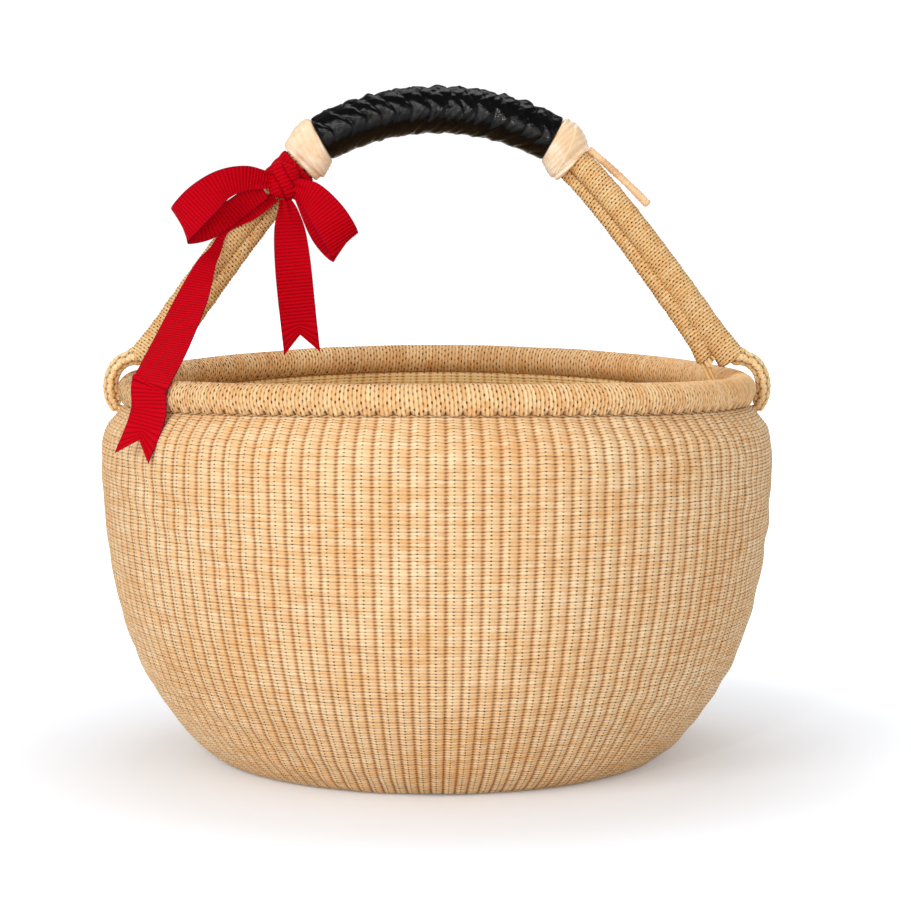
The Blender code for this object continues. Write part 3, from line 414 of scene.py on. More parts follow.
def patches_effect():
    """Broad uneven tint over a piece, and fine fibre streaks, from its own place in metres."""
    web, given, out = effect("patches", (("Place", "Vector", None),), (("Broad", "Float"), ("Fine", "Float")))
    web.tree.links.new(web.noise(given["Place"], 22.0, 3.0), out["Broad"])
    web.tree.links.new(web.noise(given["Place"], 900.0, 3.0, 0.65), out["Fine"])
    return web.tree


TWINING = twining_effect()
WINDING = winding_effect()
PATCHES = patches_effect()


def use_group(web, tree, inputs):
    node = web.tree.nodes.new("ShaderNodeGroup")
    node.node_tree = tree
    for key, value in inputs.items():
        if isinstance(value, bpy.types.NodeSocket):
            web.tree.links.new(value, node.inputs[key])
        else:
            node.inputs[key].default_value = value
    return node.outputs


def straw_web(pale, tan, deep, hole, effect_tree, settings, strength, distance):
    """Straw from pale to tan by strand and patch, darker in its gaps, darkest in its holes. Painted shade darkens a
    twined wall's furrows and the places that the mesh's shade values mark, and a twined strand's tone holds painted
    side shade.
    """

    def build(web, shader):
        coords = web.put("ShaderNodeTexCoord").outputs
        marks = use_group(web, effect_tree, {"Place": coords["UV"], **settings})
        tint = use_group(web, PATCHES, {"Place": coords["Object"]})
        share = web.math("ADD", web.math("MULTIPLY", marks["Strand"], 0.55), web.math("MULTIPLY", tint["Broad"], 0.7))
        colour = web.mix(web.math("SUBTRACT", share, 0.1, clamp=True), pale, tan)
        colour = web.mix(web.math("MULTIPLY", web.fade(tint["Fine"], 0.3, 0.62), 0.16), colour, deep)
        if "Furrow" in marks:
            # Painted shade in the furrows between ribs, darkest where a furrow meets a gap between rows.
            colour = web.mix(web.math("MULTIPLY", marks["Furrow"], 0.90), colour, deep)
            colour = web.mix(web.math("MULTIPLY", marks["Gap"], 0.50), colour, hole)
            colour = web.mix(web.math("MULTIPLY", web.math("MULTIPLY", marks["Furrow"], marks["Gap"]), 0.7), colour, hole)
            colour = web.mix(marks["Pinhole"], colour, hole)
        else:
            colour = web.mix(web.math("MULTIPLY", marks["Gap"], 0.70), colour, deep)
            colour = web.mix(marks["Dash"], colour, hole)
        # Painted shade from the mesh's shade values, toward the hole colour.
        painted_shade = web.put("ShaderNodeAttribute", attribute_name="painted_shade").outputs["Fac"]
        colour = web.mix(painted_shade, colour, hole)
        web.tree.links.new(colour, shader.inputs["Base Color"])
        high = web.math("MULTIPLY_ADD", tint["Fine"], 0.25, marks["Height"])
        web.tree.links.new(web.bump(high, strength, distance), shader.inputs["Normal"])

    return build


WALL_STRAW = finish(
    "twined_straw", 0.62,
    straw_web(shade(255, 231, 190), shade(233, 176, 111), shade(162, 98, 36), shade(80, 54, 22), TWINING, {}, 0.6, 0.0006),
    Specular_IOR_Level=0.35,
)
# A paler copy of the wall's straw for the inside and the base: painted light that makes up for the dimmer light there.
INNER_STRAW = finish(
    "inner_straw", 0.68,
    straw_web(shade(255, 238, 188), shade(255, 222, 164), shade(212, 150, 84), shade(96, 62, 24), TWINING, {}, 0.6, 0.0006),
    Specular_IOR_Level=0.3,
)
ROLL_STRAW = finish(
    "wound_straw", 0.58,
    straw_web(shade(255, 222, 170), shade(228, 166, 98), shade(154, 92, 38), shade(60, 34, 12), WINDING, {"Dash": 1.0}, 0.7, 0.0006),
    Specular_IOR_Level=0.4,
)
LEG_STRAW = finish(
    "leg_straw", 0.55,
    straw_web(shade(252, 220, 164), shade(230, 172, 100), shade(158, 98, 42), shade(60, 34, 12), WINDING, {"Dash": 1.0}, 0.7, 0.0006),
    Specular_IOR_Level=0.4,
)


BARE_STRAW = finish(
    "bare_straw", 0.5,
    straw_web(shade(255, 230, 180), shade(244, 194, 128), shade(190, 132, 70), shade(92, 56, 22), WINDING, {"Dash": 0.0}, 0.5, 0.0004),
    Specular_IOR_Level=0.45,
)


def leather_web(web, shader):
    """Black with a faint brown in its worn high places, fine creases, and gloss that varies."""
    coords = web.put("ShaderNodeTexCoord").outputs
    fine = web.noise(coords["Object"], 900.0, 4.0, 0.6)
    broad = web.noise(coords["Object"], 120.0, 3.0, 0.5)
    web.tree.links.new(web.mix(web.fade(broad, 0.35, 0.7), shade(8, 7, 7), shade(3, 3, 4)), shader.inputs["Base Color"])
    web.tree.links.new(web.math("MULTIPLY_ADD", broad, 0.14, 0.05), shader.inputs["Roughness"])
    web.tree.links.new(web.bump(web.math("MULTIPLY_ADD", fine, 0.4, broad), 0.45, 0.0006), shader.inputs["Normal"])


def rawhide_web(tan, cream, stain):
    """Cream skin with tan patches, fibres round the collar, stains and fine pits."""

    def build(web, shader):
        coords = web.put("ShaderNodeTexCoord").outputs
        u, v, _ = web.split(coords["UV"])
        fibre = web.noise(web.join(web.math("MULTIPLY", u, 1.2), web.math("MULTIPLY", v, 22.0)), 1.0, 4.0, 0.6)
        broad = web.noise(coords["Object"], 60.0, 3.0, 0.55)
        fine = web.noise(coords["Object"], 1100.0, 3.0, 0.6)
        colour = web.mix(web.fade(broad, 0.36, 0.60), cream, tan)
        colour = web.mix(web.math("MULTIPLY", web.fade(fibre, 0.30, 0.52), 0.30), colour, stain)
        colour = web.mix(web.math("MULTIPLY", web.fade(fine, 0.28, 0.40), 0.30), colour, stain)
        web.tree.links.new(colour, shader.inputs["Base Color"])
        high = web.math("ADD", web.math("MULTIPLY", fibre, 0.6), web.math("MULTIPLY", fine, 0.3))
        web.tree.links.new(web.bump(high, 0.35, 0.0006), shader.inputs["Normal"])

    return build


def ribbon_web(web, shader):
    """Red ribs across the ribbon with darker lines between them, a fine cross thread and a dark woven edge."""
    coords = web.put("ShaderNodeTexCoord").outputs
    u, v, _ = web.split(coords["UV"])
    part = web.math("FRACT", v)
    near = web.math("ABSOLUTE", web.math("SUBTRACT", part, 0.25))
    line = web.fade(web.math("ABSOLUTE", web.math("SUBTRACT", part, 0.75)), 0.02, 0.22)
    edge = web.fade(web.math("SUBTRACT", 1.0, web.math("ABSOLUTE", u)), 0.015, 0.055)
    thread = web.math("SINE", web.math("MULTIPLY", u, 150.0))
    broad = web.noise(coords["Object"], 60.0, 2.0)
    colour = web.mix(broad, shade(203, 0, 22), shade(186, 0, 17))
    colour = web.mix(web.math("MULTIPLY", line, 0.68), colour, shade(112, 0, 12))
    colour = web.mix(web.math("MULTIPLY", edge, 0.75), colour, shade(92, 10, 52))
    web.tree.links.new(colour, shader.inputs["Base Color"])
    high = web.math("ADD", web.math("MULTIPLY", web.fade(near, 0.0, 0.5), 1.0), web.math("MULTIPLY", thread, 0.06))
    web.tree.links.new(web.bump(high, 0.6, 0.0004), shader.inputs["Normal"])


BLACK_LEATHER = finish("black_leather_lace", 0.3, leather_web, Specular_IOR_Level=0.20)
RAWHIDE = finish("cream_rawhide", 0.5, rawhide_web(shade(242, 208, 168), shade(253, 234, 208), shade(222, 176, 128)), Specular_IOR_Level=0.4)
TAN_THONG = finish("tan_thong", 0.55, rawhide_web(shade(220, 172, 122), shade(242, 204, 160), shade(176, 124, 78)), Specular_IOR_Level=0.35)
RIBBON = finish("red_grosgrain", 0.7, ribbon_web, Specular_IOR_Level=0.04)


# ---------------------------------------------------------------- woven wall and base
def rim_height(angle):
    """The roll's middle: RIM_HEIGHT less the dip times the cosine of twice the angle."""
    return RIM_HEIGHT - RIM_DIP * np.cos(2 * angle)


PROFILE = curve_through(WALL_OUTLINE, 600)
MEAN_WALL_HEIGHT = RIM_HEIGHT - WALL_TOP_DROP
PROFILE_LENGTH = lengths(PROFILE * (1.0, MEAN_WALL_HEIGHT))
ROWS = int(PROFILE_LENGTH[-1] / ROW_PITCH)
CELL = np.array((0.0, 0.06, 0.20, 0.42, 0.66, 0.88))


def wall_points(u, v, inward, rib, swell):
    """Wall surface over a column place u and a row place v.

    The profile gives radius and height at row v. The rib adds rib * (1 - |2f - 1|^2.6) of the place f
    between furrows, the row adds swell * (1 - (2g - 1)^2) of the place g in the row, both along the
    profile's normal; inward moves the surface in by the wall's thickness.
    """
    span = v / ROWS * PROFILE_LENGTH[-1]
    radius = np.interp(span, PROFILE_LENGTH, PROFILE[:, 0])
    share = np.interp(span, PROFILE_LENGTH, PROFILE[:, 1])
    step = 0.004
    dr = np.interp(span + step, PROFILE_LENGTH, PROFILE[:, 0]) - np.interp(span - step, PROFILE_LENGTH, PROFILE[:, 0])
    dz = (np.interp(span + step, PROFILE_LENGTH, PROFILE[:, 1]) - np.interp(span - step, PROFILE_LENGTH, PROFILE[:, 1])) * MEAN_WALL_HEIGHT
    size = np.hypot(dr, dz)
    f = u % 1.0
    g = (v + 0.35 * np.abs(f - 0.38)) % 1.0
    ends = ease(v / 6.0) * ease((ROWS - v) / 4.0)
    lift = ends * (rib * (1 - np.abs(2 * f - 1) ** 2.6) + swell * (1 - (2 * g - 1) ** 2)) - inward * WALL_THICKNESS
    lift = lift + ends * 0.0004 * ripple(u * 0.21 + v * 0.13, 5)
    angle = u * 2 * math.pi / COLUMNS
    reach = radius + lift * dz / size
    height = share * (rim_height(angle) - WALL_TOP_DROP) - lift * dr / size
    return np.stack((reach * np.cos(angle), reach * np.sin(angle), np.maximum(height, 0.0)), axis=-1)


def wall_panel(name, first, count):
    """One closed panel of the wall: fine ribs and rows outside, plainer ones inside."""
    shell = Shell()
    u = first + np.append((np.arange(count)[:, None] + CELL).ravel(), count)
    v = np.append((np.arange(ROWS)[:, None] + np.array((0.0, 0.3, 0.7))).ravel(), ROWS)
    uu, vv = np.meshgrid(u, v, indexing="ij")
    outer = shell.grid(wall_points(uu, vv, 0.0, RIB, ROW_SWELL), np.stack((uu, vv), axis=-1))
    outer = outer + np.arange(uu.size).reshape(uu.shape)
    ui, vi = np.meshgrid(u[::2], v[::3], indexing="ij")
    half = (vi % 2) * 0.0004
    points = wall_points(ui, vi, 1.0, -0.0008, 0.0) - np.stack((half * np.cos(ui * 2 * math.pi / COLUMNS), half * np.sin(ui * 2 * math.pi / COLUMNS), 0 * half), axis=-1)
    points[:, 0, 2] = np.maximum(points[:, 0, 2], 0.006)
    inner = shell.grid(points, np.stack((ui, vi), axis=-1), flip=True)
    inner = inner + np.arange(ui.size).reshape(ui.shape)
    shell.ladder(outer[:, 0], inner[:, 0], flip=True)
    shell.ladder(outer[:, -1], inner[:, -1])
    shell.ladder(outer[0], inner[0])
    shell.ladder(outer[-1], inner[-1], flip=True)
    made = shell.piece(name, WALL_STRAW)
    made.data.materials.append(INNER_STRAW)
    start = (len(u) - 1) * (len(v) - 1)
    count_inner = (ui.shape[0] - 1) * (ui.shape[1] - 1)
    index = np.zeros(len(made.data.polygons), dtype=np.int32)
    index[start : start + count_inner] = 1
    made.data.polygons.foreach_set("material_index", index)
    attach(made, "basket")
    return made


PANELS = []
for word, first in (("right", -10), ("back_right", 11), ("back_left", 32), ("left", 53), ("front_left", 74), ("front_right", 95)):
    PANELS.append(wall_panel("wall_" + word, first, 21))
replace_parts(PANELS[0], "wall_weave")


def base_disc():
    """Twined disc: rings of rows about the middle, flat underneath, crowned a little above."""
    shell = Shell()
    sides = 66 * 4
    rings = int((BASE_RADIUS - 0.0003) / ROW_PITCH)
    v = np.append((np.arange(2, rings)[:, None] + np.array((0.0, 0.5))).ravel(), rings)
    u = np.arange(sides) / 4
    vv, uu = np.meshgrid(v, u, indexing="ij")
    radius = (BASE_RADIUS - 0.0003) * vv / rings
    angle = uu * 2 * math.pi / 66
    f, g = uu % 1.0, vv % 1.0
    weave = (0.0007 * (1 - np.abs(2 * f - 1) ** 2) * ease(vv / 12) + 0.0005 * (1 - (2 * g - 1) ** 2)) * ease((rings - vv) / 3)
    top = np.stack((radius * np.cos(angle), radius * np.sin(angle), 0.0062 + 0.0012 * (1 - vv / rings) + weave), axis=-1)
    low = np.stack((radius * np.cos(angle), radius * np.sin(angle), 0.0012 - weave), axis=-1)
    low[..., 2] = np.maximum(low[..., 2], 0.0)
    uv = np.stack((uu, vv), axis=-1)
    upper = shell.grid(top, uv, ring_m=True, period=(66.0, 0.0))
    lower = shell.grid(low, uv, ring_m=True, period=(66.0, 0.0), flip=True)
    ring = np.arange(sides)
    shell.fan(upper + ring, flip=True)
    shell.fan(lower + ring)
    last = (len(v) - 1) * sides
    a, b = lower + last + ring, upper + last + ring
    shell.place_faces(np.stack((a, np.roll(a, -1), np.roll(b, -1), b), axis=1))
    made = shell.piece("base_disc", INNER_STRAW)
    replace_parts(made, "base_weave")
    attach(made, "basket")


base_disc()


# ---------------------------------------------------------------- rim
def rim_roll():
    """Straw wound over the rim.

    The angle round the rim carries four strands to a column; the turn round the roll starts straight
    out. Each strand swells the roll by the sine of its place, and the hanging edge is drawn out into
    one tooth to a column, outside and inside.
    """
    shell = Shell()
    strands = COLUMNS * 4
    n, m = strands * 4, 38
    s = np.arange(n)[:, None] / 4
    turn = turns_grid(n, m)
    turn = turn - 0.5 * np.sin(turn - math.radians(306))
    angle = s * 2 * math.pi / strands
    slant = s + 0.3 * np.sin(turn - 0.4)
    tooth = np.abs(np.sin(math.pi * s / 4))
    down = np.exp(-(((turn - math.radians(306)) / 0.26) ** 2))
    inside = np.exp(-(((turn - math.radians(236)) / 0.30) ** 2))
    radius = ROLL_RADIUS - 0.0004 + 0.00035 * np.abs(np.sin(math.pi * slant)) ** 0.7
    radius = radius + (down + 0.7 * inside) * (0.0022 * tooth**0.5 - 0.0009) + 0.00012 * ripple(s * 0.05 + turn, 3)
    out = RIM_RADIUS + radius * np.cos(turn)
    points = np.stack((out * np.cos(angle), out * np.sin(angle), rim_height(angle) + radius * np.sin(turn)), axis=-1)
    uv = np.stack((slant, turn / (2 * math.pi) * 13), axis=-1)
    start = shell.add(points, uv)
    corners, past_n, past_m = lattice(n, m, start, True, True)
    shift = past_n[..., None] * np.array((float(strands), 0.0)) + past_m[..., None] * np.array((0.0, 13.0))
    shell.place_faces(corners[:, ::-1], shift[:, ::-1])
    # Painted shade: a dark line under the roll where it meets the wall, dark notches between its teeth, and softer
    # shade on its inner lower side.
    painted_shade = 0.9 * near_turn(turn, 297, 0.17) + 0.8 * (1 - tooth) ** 1.6 * near_turn(turn, 311, 0.30) + 0.35 * near_turn(turn, 232, 0.9)
    made = shell.piece("rim_roll", ROLL_STRAW, painted_shade=np.minimum(painted_shade, 0.95))
    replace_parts(made, "rim_wrap", "rim_core")
    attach(made, "basket")


rim_roll()


# ---------------------------------------------------------------- handle's middle lines
ARC_CENTRE = np.array((0.0, GRIP_TOP - LEATHER_RADIUS - GRIP_BEND))
ROLL_CENTRE = np.array((RIM_RADIUS, RIM_HEIGHT - RIM_DIP))


def leg_line():
    """Cubic Bezier from the grip's end to the foot, over the rim."""
    turn = GRIP_HALF_ANGLE
    start = ARC_CENTRE + GRIP_BEND * np.array((math.sin(turn), math.cos(turn)))
    end = ROLL_CENTRE + np.array((-0.0041, 0.0162))
    chord = np.linalg.norm(end - start)
    second = start + np.array((math.cos(turn), -math.sin(turn))) * 0.13 * chord
    foot = math.radians(55.0)
    third = end - np.array((math.cos(foot), -math.sin(foot))) * 0.60 * chord
    t = np.linspace(0, 1, 401)[:, None]
    return start * (1 - t) ** 3 + 3 * second * t * (1 - t) ** 2 + 3 * third * t**2 * (1 - t) + end * t**3


LEG = leg_line()
LEG_LENGTH = lengths(LEG)[-1]


def leg_place(span):
    """Middle and outward direction of the outer rod at lengths from the leather's end."""
    places = lengths(LEG)
    way = slopes(LEG)
    middle = np.stack([np.interp(span, places, LEG[:, k]) for k in (0, 1)], axis=1)
    way = np.stack([np.interp(span, places, way[:, k]) for k in (0, 1)], axis=1)
    way /= np.linalg.norm(way, axis=1, keepdims=True)
    return middle, np.stack((-way[:, 1], way[:, 0]), axis=1)


def flare(span):
    return ease((span - LEG_LENGTH + FLARE_LENGTH) / FLARE_LENGTH)


def outer_rod(span):
    return 0.0067 + 0.0008 * span / LEG_LENGTH + 0.0013 * flare(span)


def inner_rod(span):
    return 0.0048 + 0.0009 * span / LEG_LENGTH


def rod_gap(span):
    return outer_rod(span) + inner_rod(span) - 0.0014 + 0.0017 * flare(span)


def inner_place(span):
    middle, out = leg_place(span)
    return middle - out * rod_gap(span)[:, None], out


def drawn_rods(span):
    """Middles and radii of the wound rods as drawn: the outer fuller, the inner partly behind it.

    The pair keeps its outer and inner edges. The outer rod's added fullness goes inward, and the inner
    rod lies back by a depth that fades towards the foot.
    """
    middle, out = leg_place(span)
    share = span / LEG_LENGTH
    full = outer_rod(span) + 0.0013 * (1 - flare(span))
    slim = inner_rod(span) + 0.0003 * share
    high = outer_rod(span)
    low = rod_gap(span) + inner_rod(span)
    back = 0.0034 * (1 - ease(share * 1.05))
    return middle + out * (high - full)[:, None], full, middle - out * (low - slim)[:, None], slim, back, out


def wound_rod(name, side, inner):
    """Straw wound on one rod: each strand swells the rod by the sine of its place along it."""
    end = LEG_LENGTH - (0.0100 if inner else 0.0)
    pitch = 0.0021 if inner else 0.0019
    count = int((end - WRAP_START) / pitch * 5)
    m = 36 if not inner else 28
    span = np.linspace(WRAP_START, end, count)
    outer_middle, full, inner_middle, slim, back, out = drawn_rods(span)
    middle, size = (inner_middle, slim) if inner else (outer_middle, full)
    turn = turns_grid(count, m)
    s = span[:, None]
    lean = 1.1 if not inner else 0.7
    strip = s / pitch + lean * np.sin(turn + 0.5)
    swell = 0.00042 if inner else 0.00028
    wind = swell * (np.abs(np.sin(math.pi * strip)) ** 0.7 - 0.8)
    ends = np.minimum(ease((s - WRAP_START) / 0.001), ease((end - s) / 0.0016))
    rough = 0.00014 * ripple(s * 260 + 2 * np.cos(turn), 11 + inner)
    if inner:
        ends = ends * (0.97 + 0.03 * np.sin(2 * math.pi * s / 0.0042))
    radius = size[:, None] * (0.86 + 0.14 * ends) + wind + rough
    if not inner:
        ridge = np.exp(-(((s - end + 0.0022) / 0.0012) ** 2)) * 0.0007
        radius = radius + ridge * (0.4 + 0.6 * np.cos(turn) ** 2)
    deep = radius - (0.00075 * flare(s) if not inner else 0.0)
    if not inner:
        deep = deep * (1 - 0.08 * (1 - flare(s)))
    uv = np.stack((strip, turn * size[:, None] / 0.0030), axis=-1)
    # Painted shade along the side of each rod that lies against the other.
    seam = 0.75 * near_turn(turn, 0 if inner else 180, 0.75) + 0 * s
    made = skin(name, LEG_STRAW, middle, out, radius, deep, turn, uv, side, 2 * math.pi * size / 0.0030, back if inner else 0.0, seam)
    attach(made, "handle")
    return made


for word, side in (("left", -1), ("right", 1)):
    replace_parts(wound_rod(word + "_outer_rod", side, False), word + "_outer_leg_wrap")
    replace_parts(wound_rod(word + "_inner_rod", side, True), word + "_inner_leg_wrap")


def loop_line():
    """The strand's way from the outer rod's end, round the rim and up to the inner rod."""
    middle, out = leg_place(np.array((LEG_LENGTH - 0.008, LEG_LENGTH)))
    head = middle + out * 0.0042 * flare(np.array((LEG_LENGTH - 0.008, LEG_LENGTH)))[:, None]
    tail = inner_place(np.array((LEG_LENGTH - 0.0125, LEG_LENGTH - 0.0205)))[0]
    points = np.vstack((head, ROLL_CENTRE + np.array(LOOP_SHARES) * LOOP_RADIUS, tail))
    return curve_through(points, 321)


LOOP = loop_line()


def crossing(first, second, rise):
    """Height of a two-way plait and which family is on top.

    Each family's strand is a half round of its own place, raised or sunk by a cosine of the crossing
    one, so that it goes over and under in turn.
    """
    own = np.sqrt(np.clip(1 - (2 * (first % 1) - 1) ** 2, 0, 1)) + rise * np.cos(math.pi * second + math.pi * np.floor(first))
    other = np.sqrt(np.clip(1 - (2 * (second % 1) - 1) ** 2, 0, 1)) - rise * np.cos(math.pi * first + math.pi * np.floor(second))
    return np.maximum(own, other), own > other


FOOT_SHARES = (0.0, 0.05, 0.09, 0.14, 0.19, 0.27, 0.37, 0.46, 0.69, 0.74, 0.79, 0.90, 1.0)
FOOT_INNER = (0.0062, 0.0056, 0.0043, 0.0041, 0.0043, 0.0046, 0.0043, 0.0042, 0.0042, 0.0045, 0.0050, 0.0048, 0.0036)


def foot_sleeve(name, node, side):
    """Braided sleeve over the strand outside the rim, with strands that cross into chevrons.

    Its inner half width comes from a table that keeps it off the roll and the wall at every tilt.
    """
    line = LOOP[18:146]
    n, m = 220, 48
    span = np.linspace(0, lengths(line)[-1], n)
    middle = along(line, span)
    way = slopes(middle)
    out = np.stack((-way[:, 1], way[:, 0]), axis=1)
    turn = turns_grid(n, m)
    s = span[:, None]
    share = s / span[-1]
    first = s / 0.0062 + 2.5 * turn / math.pi
    second = s / 0.0062 - 2.5 * turn / math.pi
    height, top = crossing(first, second, 0.45)
    taper = 1 - 0.24 * ease((share - 0.7) / 0.3)
    lift = 0.0011 * (height - 1.1)
    start = 0.0012 * (1 - ease(s / 0.008))
    inner = np.interp(share, FOOT_SHARES, FOOT_INNER)
    wide = np.where(np.cos(turn) < 0, inner, 0.0048 * taper + start) + lift
    deep = 0.0071 * (0.86 + 0.14 * np.sin(math.pi * share)) * (1 - 0.42 * ease((share - 0.65) / 0.35)) + start + lift
    lines = np.where(top, second, first) * 2.0
    uv = np.stack((lines, turn * 0.0055 / 0.0026), axis=-1)
    # Painted shade in the low places of the plait, between the crossing strands.
    painted_shade = np.clip((0.80 - height) * 1.7, 0, 0.9)
    made = skin(name, BARE_STRAW, middle, out, wide, deep, turn, uv, side, np.full(n, 2 * math.pi * 0.0055 / 0.0026), painted_shade=painted_shade)
    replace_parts(made, node)
    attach(made, "handle")


def rope(path, radius, sides):
    """Points of a round skin along any 3-D path, its frame turned as little as the path lets it."""
    way = slopes(path)
    side_way = np.cross(way, (0.0, 1.0, 0.0))
    side_way /= np.linalg.norm(side_way, axis=1, keepdims=True)
    up = np.cross(side_way, way)
    turn = np.arange(sides) * 2 * math.pi / sides
    ring = side_way[:, None] * np.cos(turn)[:, None] + up[:, None] * np.sin(turn)[:, None]
    return path[:, None] + ring * np.broadcast_to(np.asarray(radius), (len(path), sides))[..., None]


def foot_strands(name, side):
    """Bare strands: three twisted round each other on the way round the rim, and cut ends under the rods."""
    shell = Shell()
    line = along(LOOP, np.linspace(lengths(LOOP)[136], lengths(LOOP)[-8], 150))
    way = slopes(line)
    out = np.stack((-way[:, 1], way[:, 0]), axis=1)
    paths = []
    for k in range(3):
        phase = np.linspace(0, 5.0, len(line)) + k * 2 * math.pi / 3
        flat = line + out * 0.00150 * np.cos(phase)[:, None]
        paths.append((np.stack((flat[:, 0], 0.00150 * np.sin(phase), flat[:, 1]), axis=1), 0.0013))
    middle, out = inner_place(np.array((LEG_LENGTH - 0.0125,)))
    middle, out = middle[0], out[0]
    down = np.array((out[1], -out[0]))
    for across, deep, reach, lean in ((-0.0034, -0.0006, 0.0062, -0.05), (-0.0012, -0.0030, 0.0072, 0.05), (0.0012, -0.0032, 0.0066, 0.0),
                                      (0.0036, -0.0016, 0.0056, 0.20), (-0.0022, 0.0028, 0.0060, 0.0), (0.0020, 0.0028, 0.0064, 0.1), (0.0054, -0.0004, 0.0050, 0.45), (0.0046, 0.0022, 0.0046, 0.35)):
        t = np.linspace(0, 1, 14)[:, None]
        flat = middle + out * across + (down + out * lean * t) * reach * t
        paths.append((np.stack((flat[:, 0], deep + 0 * flat[:, 0], flat[:, 1]), axis=1), 0.00125))
    for path, radius in paths:
        path = path * (side, 1, 1)
        v, u = np.meshgrid(lengths(path) / 0.003, np.arange(12) / 12, indexing="ij")
        start = shell.grid(rope(path, radius, 12), np.stack((u * 3, v), axis=-1), ring_m=True, period=(3.0, 0.0))
        shell.fan(start + np.arange(12)[::-1])
        shell.fan(start + (len(path) - 1) * 12 + np.arange(12))
    made = shell.piece(name, BARE_STRAW)
    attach(made, "handle")
    return made


for word, side in (("left", -1), ("right", 1)):
    foot_sleeve(word + "_foot_sleeve", word + "_foot_braid", side)
    strands = foot_strands(word + "_foot_strands", side)
    if side > 0:
        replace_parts(strands, "handle_core")


# ---------------------------------------------------------------- leather grip
def grip_sleeve():
    """Black leather lace round the grip.

    Its turns bow along the grip at front and back. Each one rises from under the turn before it and
    drops at its own edge, so the place in the turn gives the height.
    """
    n, m = 620, 96
    turn_along = np.linspace(-GRIP_HALF_ANGLE, GRIP_HALF_ANGLE, n)
    middle = ARC_CENTRE + GRIP_BEND * np.stack((np.sin(turn_along), np.cos(turn_along)), axis=1)
    out = np.stack((np.sin(turn_along), np.cos(turn_along)), axis=1)
    turn = turns_grid(n, m)
    span = (turn_along * GRIP_BEND)[:, None]
    bow = -0.55 * np.cos(2 * turn) + 0.10 * ripple(turn + 3 * np.sin(turn), 21)
    uneven = 0.13 * ripple(span * 90 + np.cos(turn), 22)
    place = (span / 0.0098 - bow + uneven) % 1.0
    step = place**1.3 * (1 - ease((place - 0.84) / 0.16))
    puff = np.sin(math.pi * place) ** 0.8
    knobs = (0.5 + 0.5 * np.cos(2 * math.pi * span / 0.0126 + 0.5 * ripple(span * 60, 24))) ** 2
    spine = 0.0012 * knobs * near_turn(turn, 0, 0.62) + 0.0005 * knobs * near_turn(turn, 180, 0.62)
    crease = 0.00012 * ripple(span * 700 + 8 * turn, 23, low=0.6, high=2.0)
    upper = 0.3 + 0.7 * ease(0.55 + 0.9 * np.cos(turn))
    radius = LEATHER_RADIUS - 0.0003 - (0.0010 - 0.00075 * step - 0.00065 * puff) * upper + crease + spine
    ends = np.minimum(1.0, (GRIP_HALF_ANGLE * GRIP_BEND - np.abs(span)) / 0.0022)
    radius = radius - 0.0009 * (1 - np.sqrt(np.clip(1 - (1 - ends) ** 2, 0, 1)))
    uv = np.stack((span / 0.0098 - bow, turn / math.pi + 0 * span), axis=-1)
    made = skin("grip_sleeve", BLACK_LEATHER, middle, out, radius, radius, turn, uv, 1, np.full(n, 2.0))
    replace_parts(made, "grip_leather")
    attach(made, "handle")


grip_sleeve()


# ---------------------------------------------------------------- rawhide collars and thong
PAIR_HIGH = outer_rod(np.array((COLLAR_WIDTH,)))[0]
PAIR_LOW = (rod_gap(np.array((COLLAR_WIDTH,))) + inner_rod(np.array((COLLAR_WIDTH,))))[0]


def squared(turns, fullness):
    """Cosine and sine drawn out to a squared oval: the sign times the value to the power 2 / fullness."""
    c, s = np.cos(turns), np.sin(turns)
    return np.sign(c) * np.abs(c) ** (2 / fullness), np.sign(s) * np.abs(s) ** (2 / fullness)


